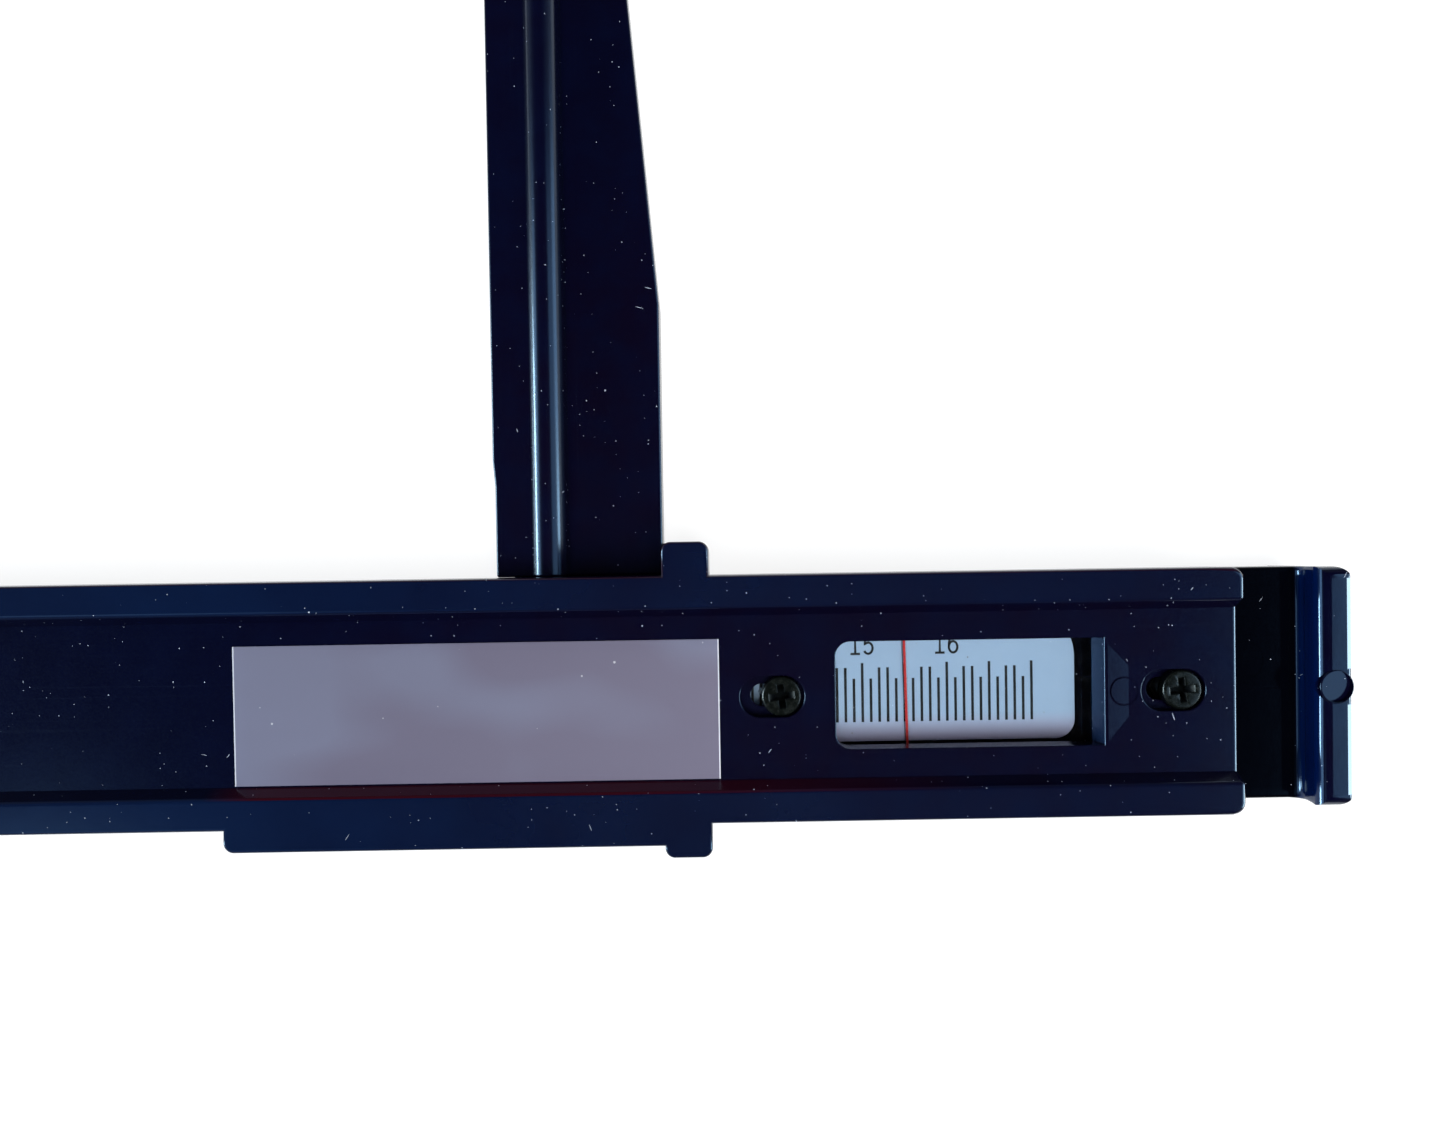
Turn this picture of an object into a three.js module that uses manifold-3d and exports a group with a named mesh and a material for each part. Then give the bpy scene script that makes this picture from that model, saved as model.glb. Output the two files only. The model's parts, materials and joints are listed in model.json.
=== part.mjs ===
// Small bone caliper of moulded plastic, lying on its back, in millimetres.
// X runs along the beam towards the end bar, Y towards the jaws' tips, and Z up towards the reader.
// Sizes are measured from the fixed jaw's measuring face (X 0), the cover's centre line (Y 0)
// and the surface that the caliper lies on (Z 0). The whole is moved to its own centre at the end.
import * as THREE from "three";
import { mergeVertices } from "three/addons/utils/BufferGeometryUtils.js";
import Module from "manifold-3d";

const wasm = await Module();
wasm.setup();

// Clearances that all pieces share.
const SLIDE_GAP = 0.3;
const SIDE_GAP = 0.15;
const FIT_GAP = 0.15;
const OVERRUN = 1;

// Positions of the carriage, measured between the jaws' faces.
const READING = 155;
const WIDEST_READING = 163.3;

// Beam and the end wall at its right, with the round boss in that wall.
const BEAM_HALF = 13.75;
const BEAM_THICK = 5.4;
const BEAM_PAST_JAW = 22;
const BEAM_CORNER = 1.5;
const BAR_WIDTH = 3.8;
const BAR_FRONT = 12.7;
const BAR_COVE = 1.3;
const BAR_CORNER = 1.8;
const BAR_RIDGE_ROUND = 1.4;
const BAR_END_ROUND = 1.3;
const BAR_EDGE_ROUND = 0.7;
const BOSS_DIAMETER = 3.9;
const BOSS_INSET = 1.85;
const BOSS_STANDS = 0.12;

// White strip with the graduations.
const STRIP_THICK = 0.35;
const STRIP_RECESS = 0.4;
const STRIP_BOTTOM = 6.15;
const STRIP_TOP = 9.15;
const STRIP_BEFORE_ZERO = 5.2;
const STRIP_GRADUATED = 170;
const STRIP_PAST_LAST = 5.1;
const STRIP_CORNER = 2.3;
const STRIP_TOP_RIGHT_CORNER = 5.5;

// Back plate, behind the beam, and the layers in front of it.
const PLATE_THICK = 2.4;
const PLATE_LEFT = 29.4;
const PLATE_CORNER = 1.2;

// Cover.
const COVER_LEFT = 72;
const COVER_RIGHT = 85.2;
const COVER_CORNER = 1.4;
const WEB_THICK = 4.8;
const FLANGE_RISE = 1.8;
const FLANGE_WIDTH = 3.6;
const FLANGE_SLOPE = 1;

// Lip and lugs of the cover.
const LIP_STANDS = 2.45;
const LUG_STANDS = 3.8;
const LUG_WIDTH = 5.3;
const LUG_CORNER = 1.1;

// Jaws.
const JAW_WIDTH = 19.7;
const JAW_REACH = 105;
const JAW_STRAIGHT = 32.6;
const JAW_TIP_WIDTH = 13.4;
const JAW_TIP_INNER_ROUND = 2;
const JAW_TIP_OUTER_ROUND = 7;
const JAW_RELIEF = 0.25;
const JAW_RELIEF_LENGTH = 10.7;
const JAW_RELIEF_RAMP = 3;
const BAND_THICK = 8;
const FIN_THICK = 4.5;
const BEAD_WIDTH = 4;
const BEAD_INSET = 4.45;
const BEAD_STANDS = 1.5;
const BEAD_SHORT_OF_TIP = 9;

// Tongue of the fixed jaw, let into the beam's back.
const TONGUE_THICK = 2.3;
const TONGUE_ABOVE_EDGE = 4.75;
const TONGUE_CORNER = 1.5;

// Window and cursor. Places along the cover are measured from the moving jaw's face.
const WINDOW_LEFT = 39.5;
const WINDOW_LENGTH = 30.5;
const WINDOW_HEIGHT = 12.2;
const WINDOW_CORNER = 1.7;
const WINDOW_BEVEL = 0.5;
const WINDOW_BEVEL_LIP = 0.3;
const HAIRLINE_AT = 48.2;
const HAIRLINE_WIDTH = 0.3;
const HAIRLINE_DEPTH = 0.15;
const HAIRLINE_MARGIN = 0.3;
const HAIRLINE_LEAN = 1.2;
const LENS_THICK = 1.5;
const LENS_HEIGHT = 15.6;
const LENS_PLAY = 0.15;
const LENS_CORNER = 1.2;
const LENS_PAST_LEFT_SCREW = 6.1;
const LENS_PAST_RIGHT_SCREW = 4;
const CURSOR_TRAVEL_LEFT = 2.2;
const CURSOR_TRAVEL_RIGHT = 0.2;

// Cursor screws, their slots and nuts.
const LEFT_SCREW_FROM_HAIRLINE = 14.85;
const RIGHT_SCREW_FROM_HAIRLINE = 30.7;
const SLOT_WIDTH = 4.75;
const SLOT_DEPTH = 1.7;
const CURSOR_HEAD_DIAMETER = 4.5;
const CURSOR_HEAD_THICK = 1.5;
const CURSOR_HEAD_ROUND = 0.35;
const CURSOR_SHANK_DIAMETER = 2;
const CURSOR_SHANK_LENGTH = 2.9;
const INNER_SLOT_WIDTH = 2.6;
const NUT_ACROSS_FLATS = 4;
const NUT_THICK = 0.85;

// Countersunk screws in the back, and the cross recess of all the screws.
const CARRIAGE_SCREW = { head: 2.2, cone: 0.75, shank: 1.3, length: 7.5, sunk: 0.15 };
const JAW_SCREW = { head: 4.4, cone: 1.1, shank: 2.2, length: 4.2, sunk: 0.1 };
const JAW_SCREW_BELOW_EDGE = 5.75;
const JAW_SCREW_DOWN = 4.5;
const JAW_SCREW_SPREAD = 5;
const LIP_SCREW_LEFT = 26.5;
const LIP_SCREW_RIGHT = 12.5;
const LIP_SCREW_WALL = 0.4;
const HOLE_PAST_SCREW = 0.5;
const CROSS_WIDTH_SHARE = 0.16;
const CROSS_LENGTH_SHARE = 0.62;
const CROSS_DEPTH_SHARE = 0.7;

// Leaf spring in the lip.
const SPRING_THICK = 0.25;
const SPRING_WIDTH = 3.2;
const SPRING_HALF_LENGTH = 11;
const SPRING_BOW = 1.3;
const SPRING_MIDDLE = 6;
const SPRING_END_ROOM = 1;

// Nameplate on the cover.
const PLATE_FOIL_LEFT = 28.55;
const PLATE_FOIL_RIGHT = 26.3;
const PLATE_FOIL_BELOW_FLANGE = 2.65;
const PLATE_FOIL_THICK = 0.25;
const PLATE_FOIL_CORNER = 0.4;

// Steps round a curve, chosen so that the facets stay small beside the piece.
const ARC_STEPS = 8;
const ROUND_STEPS = 32;
const SPRING_STEPS = 20;

// Layers, worked out from the thicknesses.
const beamBack = PLATE_THICK + SLIDE_GAP;
const beamFront = beamBack + BEAM_THICK;
const coverBack = beamFront + SLIDE_GAP;
const webFront = coverBack + WEB_THICK;
const coverFront = webFront + FLANGE_RISE;
const lensBack = coverBack + LENS_PLAY;
const lensFront = lensBack + LENS_THICK;
const pocketFront = lensFront + LENS_PLAY;
const slotFloor = webFront - SLOT_DEPTH;

// Places along the beam and across it.
const barLeft = WIDEST_READING + COVER_RIGHT + BAR_COVE;
const barRight = barLeft + BAR_WIDTH;
const rightEnd = barLeft + BOSS_INSET + BOSS_DIAMETER / 2;
const zeroAt = HAIRLINE_AT;
const coverHalf = BEAM_HALF + SIDE_GAP;
const webHalf = coverHalf - FLANGE_WIDTH - FLANGE_SLOPE;
const lipReach = coverHalf + LIP_STANDS;
const lugReach = coverHalf + LUG_STANDS;
const jawRoot = coverHalf;
const jawTip = jawRoot + JAW_REACH;
const lugLeft = JAW_WIDTH + SLIDE_GAP;
const lugRight = lugLeft + LUG_WIDTH;
const leftScrewAt = HAIRLINE_AT - LEFT_SCREW_FROM_HAIRLINE;
const rightScrewAt = HAIRLINE_AT + RIGHT_SCREW_FROM_HAIRLINE;
const slotLeftRoom = CURSOR_TRAVEL_LEFT + SLIDE_GAP;
const slotRightRoom = CURSOR_TRAVEL_RIGHT + FIT_GAP;

// A closed geometry as a solid for joining and cutting.
function solid(geometry) {
  const bare = geometry.clone();
  bare.deleteAttribute("normal");
  bare.deleteAttribute("uv");
  const merged = mergeVertices(bare);
  const vertProperties = merged.attributes.position.array;
  const triVerts = new Uint32Array(merged.index.array);
  return new wasm.Manifold(new wasm.Mesh({ numProp: 3, vertProperties, triVerts }));
}

// A solid as a geometry with flat faces.
function geometryOf(body) {
  const mesh = body.getMesh();
  const geometry = new THREE.BufferGeometry();
  geometry.setAttribute("position", new THREE.BufferAttribute(mesh.vertProperties, mesh.numProp));
  geometry.setIndex(new THREE.BufferAttribute(mesh.triVerts, 1));
  const flat = geometry.toNonIndexed();
  flat.computeVertexNormals();
  return flat;
}

function join(...bodies) {
  return bodies.reduce((whole, body) => whole.add(body));
}

function cut(body, ...tools) {
  return tools.reduce((left, tool) => left.subtract(tool), body);
}

// An outline in X and Y, raised from one height to another.
function plate(shape, low, high) {
  const geometry = new THREE.ExtrudeGeometry(shape, {
    depth: high - low,
    bevelEnabled: false,
    curveSegments: ARC_STEPS,
  });
  return solid(geometry.translate(0, 0, low));
}

// A section in Y and Z, drawn out along X.
function alongX(shape, left, right) {
  const geometry = new THREE.ExtrudeGeometry(shape, {
    depth: right - left,
    bevelEnabled: false,
    curveSegments: ARC_STEPS,
  });
  const toX = new THREE.Matrix4().makeBasis(
    new THREE.Vector3(0, 1, 0),
    new THREE.Vector3(0, 0, 1),
    new THREE.Vector3(1, 0, 0),
  );
  return solid(geometry.applyMatrix4(toX).translate(left, 0, 0));
}

// A section in X and Z, drawn out along Y.
function alongY(shape, low, high) {
  const geometry = new THREE.ExtrudeGeometry(shape, {
    depth: high - low,
    bevelEnabled: false,
    curveSegments: ARC_STEPS,
  });
  const toY = new THREE.Matrix4().makeBasis(
    new THREE.Vector3(1, 0, 0),
    new THREE.Vector3(0, 0, 1),
    new THREE.Vector3(0, -1, 0),
  );
  return solid(geometry.applyMatrix4(toY).translate(0, high, 0));
}

// A closed outline through points, each with the radius that rounds it (0 leaves it sharp).
function outline(points) {
  const shape = new THREE.Shape();
  points.forEach(([x, y, radius], i) => {
    const here = new THREE.Vector2(x, y);
    const before = new THREE.Vector2(...points.at(i - 1));
    const after = new THREE.Vector2(...points[(i + 1) % points.length]);
    const back = before.clone().sub(here).normalize();
    const ahead = after.clone().sub(here).normalize();
    const half = Math.acos(THREE.MathUtils.clamp(back.dot(ahead), -1, 1)) / 2;
    const reach = radius ? radius / Math.tan(half) : 0;
    const start = here.clone().addScaledVector(back, reach);
    const end = here.clone().addScaledVector(ahead, reach);
    if (i === 0) shape.moveTo(start.x, start.y);
    else shape.lineTo(start.x, start.y);
    if (reach === 0) return;
    const centre = here.clone().add(back.add(ahead).setLength(radius / Math.sin(half)));
    const from = Math.atan2(start.y - centre.y, start.x - centre.x);
    const to = Math.atan2(end.y - centre.y, end.x - centre.x);
    const turn = Math.atan2(Math.sin(to - from), Math.cos(to - from));
    shape.absarc(centre.x, centre.y, radius, from, from + turn, turn < 0);
  });
  return shape;
}

function rectangle(left, bottom, right, top, radius = 0) {
  return outline([
    [left, bottom, radius],
    [right, bottom, radius],
    [right, top, radius],
    [left, top, radius],
  ]);
}

function box(left, bottom, low, right, top, high) {
  return plate(rectangle(left, bottom, right, top), low, high);
}

// A slot with round ends between two places along X, on the centre line.
function slot(left, right, width, low, high) {
  const radius = width / 2;
  const shape = new THREE.Shape();
  shape.absarc(left + radius, 0, radius, Math.PI / 2, (3 * Math.PI) / 2, false);
  shape.absarc(right - radius, 0, radius, -Math.PI / 2, Math.PI / 2, false);
  return plate(shape, low, high);
}

// A body of revolution about Z, from points of radius and height that start and end on the axis.
function turned(points) {
  const profile = points.map(([radius, height]) => new THREE.Vector2(radius, height));
  return solid(new THREE.LatheGeometry(profile, ROUND_STEPS).rotateX(Math.PI / 2));
}

function cylinder(diameter, low, high) {
  const radius = diameter / 2;
  return turned([
    [0, low],
    [radius, low],
    [radius, high],
    [0, high],
  ]);
}

// The cross recess of a screw whose head's top is at height 0.
function crossRecess(head, depth) {
  const half = (head * CROSS_LENGTH_SHARE) / 2;
  const thin = (head * CROSS_WIDTH_SHARE) / 2;
  return join(
    box(-half, -thin, -depth, half, thin, OVERRUN),
    box(-thin, -half, -depth, thin, half, OVERRUN),
  );
}

// A countersunk screw, its head's top at height 0 and its shank downwards.
function countersunkScrew(size) {
  const { head, cone, shank, length } = size;
  const body = turned([
    [0, -length],
    [shank / 2, -length],
    [shank / 2, -cone],
    [head / 2, 0],
    [0, 0],
  ]);
  return cut(body, crossRecess(head, cone * CROSS_DEPTH_SHARE));
}

// The space that a countersunk screw needs when it is driven from below at one place.
function countersunkHole(size, x, y, face) {
  const { head, cone, shank, length, sunk } = size;
  const wide = head / 2 + FIT_GAP;
  const narrow = shank / 2 + FIT_GAP;
  const geometry = new THREE.LatheGeometry(
    [
      new THREE.Vector2(0, face - OVERRUN),
      new THREE.Vector2(wide, face - OVERRUN),
      new THREE.Vector2(wide, face + sunk),
      new THREE.Vector2(narrow, face + sunk + cone),
      new THREE.Vector2(narrow, face + sunk + length + HOLE_PAST_SCREW),
      new THREE.Vector2(0, face + sunk + length + HOLE_PAST_SCREW),
    ],
    ROUND_STEPS,
  );
  return solid(geometry.rotateX(Math.PI / 2).translate(x, y, 0));
}

// Where the screws of the back sit: the plate's screws on the carriage, the jaw's on the beam.
const lipScrewY = -(coverHalf + CARRIAGE_SCREW.shank / 2 + FIT_GAP + LIP_SCREW_WALL);
const carriageScrewPlaces = [
  [(lugLeft + lugRight) / 2, (jawRoot + lugReach) / 2],
  [(lugLeft + lugRight) / 2, -(coverHalf + lugReach) / 2],
  [LIP_SCREW_RIGHT, lipScrewY],
  [-LIP_SCREW_LEFT, lipScrewY],
];
const jawScrewPlaces = [
  [-JAW_WIDTH / 2, BEAM_HALF - JAW_SCREW_BELOW_EDGE],
  [-JAW_WIDTH / 2 - JAW_SCREW_SPREAD, -JAW_SCREW_DOWN],
  [-JAW_WIDTH / 2 + JAW_SCREW_SPREAD, -JAW_SCREW_DOWN],
];

// The arm of a jaw: a thick band along the measuring face, a half-round bead and a thinner fin.
// side is 1 for the moving jaw, whose arm lies to the right of its face, and -1 for the fixed one.
function jawArm(side) {
  const tipCorner = jawTip;
  const straightTop = jawRoot + JAW_STRAIGHT;
  const reliefTop = jawRoot + JAW_RELIEF_LENGTH;
  const rightRoot = side * JAW_WIDTH;
  const face = [
    [side * JAW_RELIEF, jawRoot, 0],
    [side * JAW_RELIEF, reliefTop, 0],
    [0, reliefTop + JAW_RELIEF_RAMP, 0],
    [0, tipCorner, JAW_TIP_INNER_ROUND],
  ];
  const fin = outline([
    ...face,
    [side * JAW_TIP_WIDTH, tipCorner, JAW_TIP_OUTER_ROUND],
    [rightRoot, straightTop, 0],
    [rightRoot, jawRoot, 0],
  ]);
  const beadTop = jawTip - BEAD_SHORT_OF_TIP;
  const beadCentre = side * (BEAD_INSET + BEAD_WIDTH / 2);
  const band = outline([...face, [beadCentre, tipCorner, 0], [beadCentre, jawRoot, 0]]);
  return join(
    plate(fin, 0, FIN_THICK),
    plate(band, 0, BAND_THICK),
    bead(beadCentre, jawRoot, beadTop),
  );
}

// The bead: an upright rib with a half-round top, which ends in a quarter ball.
function bead(centre, low, high) {
  const radius = BEAD_WIDTH / 2;
  const axis = BAND_THICK + BEAD_STANDS - radius;
  const shape = new THREE.Shape();
  shape.moveTo(centre - radius, FIN_THICK - OVERRUN);
  shape.lineTo(centre + radius, FIN_THICK - OVERRUN);
  shape.absarc(centre, axis, radius, 0, Math.PI, false);
  const profile = [
    [0, FIN_THICK - OVERRUN],
    [radius, FIN_THICK - OVERRUN],
  ];
  for (let i = 0; i < ARC_STEPS; i++) {
    const angle = (i * Math.PI) / 2 / ARC_STEPS;
    profile.push([radius * Math.cos(angle), axis + radius * Math.sin(angle)]);
  }
  const end = turned([...profile, [0, axis + radius]]);
  return join(alongY(shape, low, high), end.translate([centre, high, 0]));
}

// The end wall's foot, a hollow curve between the beam's front and the wall.
function barCove() {
  const shape = new THREE.Shape();
  shape.moveTo(barLeft - BAR_COVE, beamBack + FIT_GAP);
  shape.lineTo(barLeft + OVERRUN, beamBack + FIT_GAP);
  shape.lineTo(barLeft + OVERRUN, beamFront + BAR_COVE);
  shape.lineTo(barLeft, beamFront + BAR_COVE);
  shape.absarc(barLeft - BAR_COVE, beamFront + BAR_COVE, BAR_COVE, 0, -Math.PI / 2, true);
  return alongY(shape, -BEAM_HALF, BEAM_HALF);
}

// The end wall, with a round ridge and round ends, and the round boss that is wider than the wall.
function endBar() {
  const section = outline([
    [barLeft, 0, 0],
    [barRight, 0, 0],
    [barRight, BAR_FRONT, BAR_EDGE_ROUND],
    [barLeft, BAR_FRONT, BAR_RIDGE_ROUND],
  ]);
  const plan = outline([
    [barLeft - OVERRUN, -BEAM_HALF, 0],
    [barRight, -BEAM_HALF, BAR_CORNER],
    [barRight, BEAM_HALF, BAR_CORNER],
    [barLeft - OVERRUN, BEAM_HALF, 0],
  ]);
  const side = outline([
    [-BEAM_HALF, 0, 0],
    [BEAM_HALF, 0, 0],
    [BEAM_HALF, BAR_FRONT, BAR_END_ROUND],
    [-BEAM_HALF, BAR_FRONT, BAR_END_ROUND],
  ]);
  const wall = alongY(section, -BEAM_HALF, BEAM_HALF)
    .intersect(plate(plan, 0, BAR_FRONT))
    .intersect(alongX(side, barLeft, barRight));
  const boss = cylinder(BOSS_DIAMETER, BAR_FRONT - BAR_RIDGE_ROUND, BAR_FRONT + BOSS_STANDS);
  return join(wall, boss.translate([barLeft + BOSS_INSET, 0, 0]));
}

// Beam with the end bar in one moulding.
function ruleBeam() {
  const beam = plate(
    outline([
      [-BEAM_PAST_JAW, -BEAM_HALF, BEAM_CORNER],
      [barLeft + OVERRUN, -BEAM_HALF, 0],
      [barLeft + OVERRUN, BEAM_HALF, 0],
      [-BEAM_PAST_JAW, BEAM_HALF, BEAM_CORNER],
    ]),
    beamBack,
    beamFront,
  );
  return cut(
    join(beam, barCove(), endBar()),
    stripRecess(),
    tongueSocket(),
    ...jawScrewPlaces.map(([x, y]) => countersunkHole(JAW_SCREW, x, y, beamBack)),
  );
}

// The strip's outline, let into the beam's front with a little room all round.
function stripOutline(room) {
  const left = zeroAt - STRIP_BEFORE_ZERO - room;
  const right = zeroAt + STRIP_GRADUATED + STRIP_PAST_LAST + room;
  return outline([
    [left, -STRIP_BOTTOM - room, STRIP_CORNER],
    [right, -STRIP_BOTTOM - room, STRIP_CORNER],
    [right, STRIP_TOP + room, STRIP_TOP_RIGHT_CORNER],
    [left, STRIP_TOP + room, STRIP_CORNER],
  ]);
}

function stripRecess() {
  return plate(stripOutline(FIT_GAP), beamFront - STRIP_RECESS, beamFront + OVERRUN);
}

function scaleStrip() {
  const floor = beamFront - STRIP_RECESS;
  return plate(stripOutline(0), floor, floor + STRIP_THICK);
}

// The fixed jaw's tongue runs down inside the beam's back.
function tongueShape(room, top) {
  const bottom = TONGUE_ABOVE_EDGE - BEAM_HALF - room;
  return outline([
    [-JAW_WIDTH - room, bottom, TONGUE_CORNER],
    [room, bottom, TONGUE_CORNER],
    [room, top, 0],
    [-JAW_WIDTH - room, top, 0],
  ]);
}

function tongueSocket() {
  const shape = tongueShape(FIT_GAP, BEAM_HALF + OVERRUN);
  return plate(shape, beamBack - OVERRUN, beamBack + TONGUE_THICK + FIT_GAP);
}

function fixedJaw() {
  const tongue = plate(tongueShape(0, jawRoot + OVERRUN), beamBack, beamBack + TONGUE_THICK);
  const holes = jawScrewPlaces.map(([x, y]) => countersunkHole(JAW_SCREW, x, y, beamBack));
  return cut(join(jawArm(-1), tongue), ...holes);
}

// The moving jaw and the plate that passes behind the beam, in one moulding.
function movingJaw() {
  const backPlate = plate(
    outline([
      [-PLATE_LEFT, -lipReach, PLATE_CORNER],
      [lugLeft, -lipReach, 0],
      [lugLeft, -lugReach, PLATE_CORNER],
      [lugRight, -lugReach, PLATE_CORNER],
      [lugRight, lugReach, PLATE_CORNER],
      [JAW_WIDTH - OVERRUN, lugReach, 0],
      [JAW_RELIEF + OVERRUN, lugReach, 0],
      [JAW_RELIEF + OVERRUN, BEAM_HALF, 0],
      [-PLATE_LEFT, BEAM_HALF, PLATE_CORNER],
    ]),
    0,
    PLATE_THICK,
  );
  const holes = carriageScrewPlaces.map(([x, y]) => countersunkHole(CARRIAGE_SCREW, x, y, 0));
  return cut(join(jawArm(1), backPlate), ...holes);
}

// The cover's long section: a web between two raised flanges.
function coverSection() {
  const inner = coverHalf - FLANGE_WIDTH;
  return outline([
    [-coverHalf, coverBack, 0],
    [coverHalf, coverBack, 0],
    [coverHalf, coverFront, 0],
    [inner, coverFront, 0],
    [webHalf, webFront, 0],
    [-webHalf, webFront, 0],
    [-inner, coverFront, 0],
    [-coverHalf, coverFront, 0],
  ]);
}

function coverBlank() {
  const ends = plate(
    rectangle(-COVER_LEFT, -coverHalf, COVER_RIGHT, coverHalf, COVER_CORNER),
    0,
    coverFront + OVERRUN,
  );
  const channel = alongX(coverSection(), -COVER_LEFT, COVER_RIGHT).intersect(ends);
  const lip = plate(
    outline([
      [-PLATE_LEFT, -lipReach, PLATE_CORNER],
      [lugLeft + OVERRUN, -lipReach, 0],
      [lugLeft + OVERRUN, FLANGE_WIDTH / 2 - coverHalf, 0],
      [-PLATE_LEFT, FLANGE_WIDTH / 2 - coverHalf, 0],
    ]),
    PLATE_THICK,
    coverFront,
  );
  const lugs = plate(
    rectangle(lugLeft, -lugReach, lugRight, lugReach, LUG_CORNER),
    PLATE_THICK,
    coverFront,
  );
  const hollow = box(
    lugLeft - OVERRUN,
    -coverHalf + FLANGE_WIDTH / 2,
    webFront - OVERRUN,
    lugRight + OVERRUN,
    coverHalf - FLANGE_WIDTH / 2,
    coverFront + OVERRUN,
  );
  return join(channel, lip, cut(lugs, hollow));
}

// The window, with round corners and a bevelled right end.
function windowCut() {
  const right = WINDOW_LEFT + WINDOW_LENGTH;
  const top = WINDOW_HEIGHT / 2;
  const plan = plate(
    outline([
      [WINDOW_LEFT, -top, WINDOW_CORNER],
      [right + OVERRUN, -top, 0],
      [right + OVERRUN, top, 0],
      [WINDOW_LEFT, top, WINDOW_CORNER],
    ]),
    coverBack,
    coverFront,
  );
  const section = alongY(
    outline([
      [WINDOW_LEFT - OVERRUN, coverBack, 0],
      [right - WINDOW_BEVEL, coverBack, 0],
      [right - WINDOW_BEVEL, pocketFront + WINDOW_BEVEL_LIP, 0],
      [right, webFront, 0],
      [right, coverFront, 0],
      [WINDOW_LEFT - OVERRUN, coverFront, 0],
    ]),
    -top - OVERRUN,
    top + OVERRUN,
  );
  return plan.intersect(section);
}

// The pocket behind the web that the lens slides in.
function lensPocket() {
  const left = leftScrewAt - LENS_PAST_LEFT_SCREW - slotLeftRoom;
  const right = rightScrewAt + LENS_PAST_RIGHT_SCREW + slotRightRoom;
  const half = LENS_HEIGHT / 2 + LENS_PLAY;
  const shape = rectangle(left, -half, right, half, LENS_CORNER);
  return plate(shape, coverBack - OVERRUN, pocketFront);
}

// The counterbored slot of one cursor screw.
function screwSlot(at) {
  const head = CURSOR_HEAD_DIAMETER / 2;
  const shank = CURSOR_SHANK_DIAMETER / 2;
  const outer = slot(
    at - head - slotLeftRoom,
    at + head + slotRightRoom,
    SLOT_WIDTH,
    slotFloor,
    coverFront,
  );
  const inner = slot(
    at - shank - slotLeftRoom,
    at + shank + slotRightRoom,
    INNER_SLOT_WIDTH,
    coverBack,
    coverFront,
  );
  return join(outer, inner);
}

// The pocket in the lip for the leaf spring, open towards the beam.
function springPocket() {
  const depth = coverHalf + SPRING_BOW + SPRING_THICK + FIT_GAP;
  const half = SPRING_HALF_LENGTH + SPRING_END_ROOM;
  const centre = (beamBack + beamFront) / 2;
  const low = centre - SPRING_WIDTH / 2 - SLIDE_GAP;
  const high = centre + SPRING_WIDTH / 2 + SLIDE_GAP;
  return box(-SPRING_MIDDLE - half, -depth, low, -SPRING_MIDDLE + half, 0, high);
}

function carriageCover() {
  const passage = box(
    -COVER_LEFT - OVERRUN,
    -coverHalf,
    -OVERRUN,
    COVER_RIGHT + OVERRUN,
    jawRoot,
    coverBack,
  );
  return cut(
    coverBlank(),
    passage,
    windowCut(),
    lensPocket(),
    screwSlot(leftScrewAt),
    screwSlot(rightScrewAt),
    springPocket(),
    ...carriageScrewPlaces.map(([x, y]) => countersunkHole(CARRIAGE_SCREW, x, y, 0)),
  );
}

// The leaf spring, bowed so that its middle rubs on the beam's lower edge.
function gibSpring() {
  const outer = [];
  const inner = [];
  for (let i = 0; i <= SPRING_STEPS; i++) {
    const t = (2 * i) / SPRING_STEPS - 1;
    const x = -SPRING_MIDDLE + t * SPRING_HALF_LENGTH;
    const y = -coverHalf - SPRING_BOW * t * t;
    inner.push(new THREE.Vector2(x, y));
    outer.unshift(new THREE.Vector2(x, y - SPRING_THICK));
  }
  const centre = (beamBack + beamFront) / 2;
  const shape = new THREE.Shape([...inner, ...outer]);
  return plate(shape, centre - SPRING_WIDTH / 2, centre + SPRING_WIDTH / 2);
}

function nameplate() {
  const bottom = FIT_GAP - webHalf;
  const top = webHalf - PLATE_FOIL_BELOW_FLANGE;
  const shape = rectangle(-PLATE_FOIL_LEFT, bottom, PLATE_FOIL_RIGHT, top, PLATE_FOIL_CORNER);
  return plate(shape, webFront, webFront + PLATE_FOIL_THICK);
}

function hexagon(acrossFlats) {
  const radius = acrossFlats / Math.sqrt(3);
  const corners = [];
  for (let i = 0; i < 6; i++) {
    const angle = (i * Math.PI) / 3;
    corners.push([radius * Math.cos(angle), radius * Math.sin(angle), 0]);
  }
  return outline(corners);
}

// The lens, with a groove for the hairline in its back and a seat for each nut.
function cursorLens() {
  const left = leftScrewAt - LENS_PAST_LEFT_SCREW;
  const right = rightScrewAt + LENS_PAST_RIGHT_SCREW;
  const half = LENS_HEIGHT / 2;
  const shape = rectangle(left, -half, right, half, LENS_CORNER);
  const hollow = hexagon(NUT_ACROSS_FLATS + 2 * FIT_GAP);
  const seat = join(
    plate(hollow, lensBack - OVERRUN, lensBack + NUT_THICK + FIT_GAP),
    cylinder(INNER_SLOT_WIDTH, lensBack, lensFront + OVERRUN),
  );
  const seats = [leftScrewAt, rightScrewAt].map((at) => seat.translate([at, 0, 0]));
  return cut(plate(shape, lensBack, lensFront), hairlineBar(FIT_GAP / 2, OVERRUN), ...seats);
}

// The hairline leans a little, its top to the left. below carries a groove out of the lens's back.
function hairlineBar(room, below) {
  const half = LENS_HEIGHT / 2 - HAIRLINE_MARGIN + room;
  const side = HAIRLINE_WIDTH / 2 + room;
  const bar = box(-side, -half, lensBack - below, side, half, lensBack + HAIRLINE_DEPTH + room);
  return bar.rotate([0, 0, HAIRLINE_LEAN]).translate([HAIRLINE_AT, 0, 0]);
}

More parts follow.
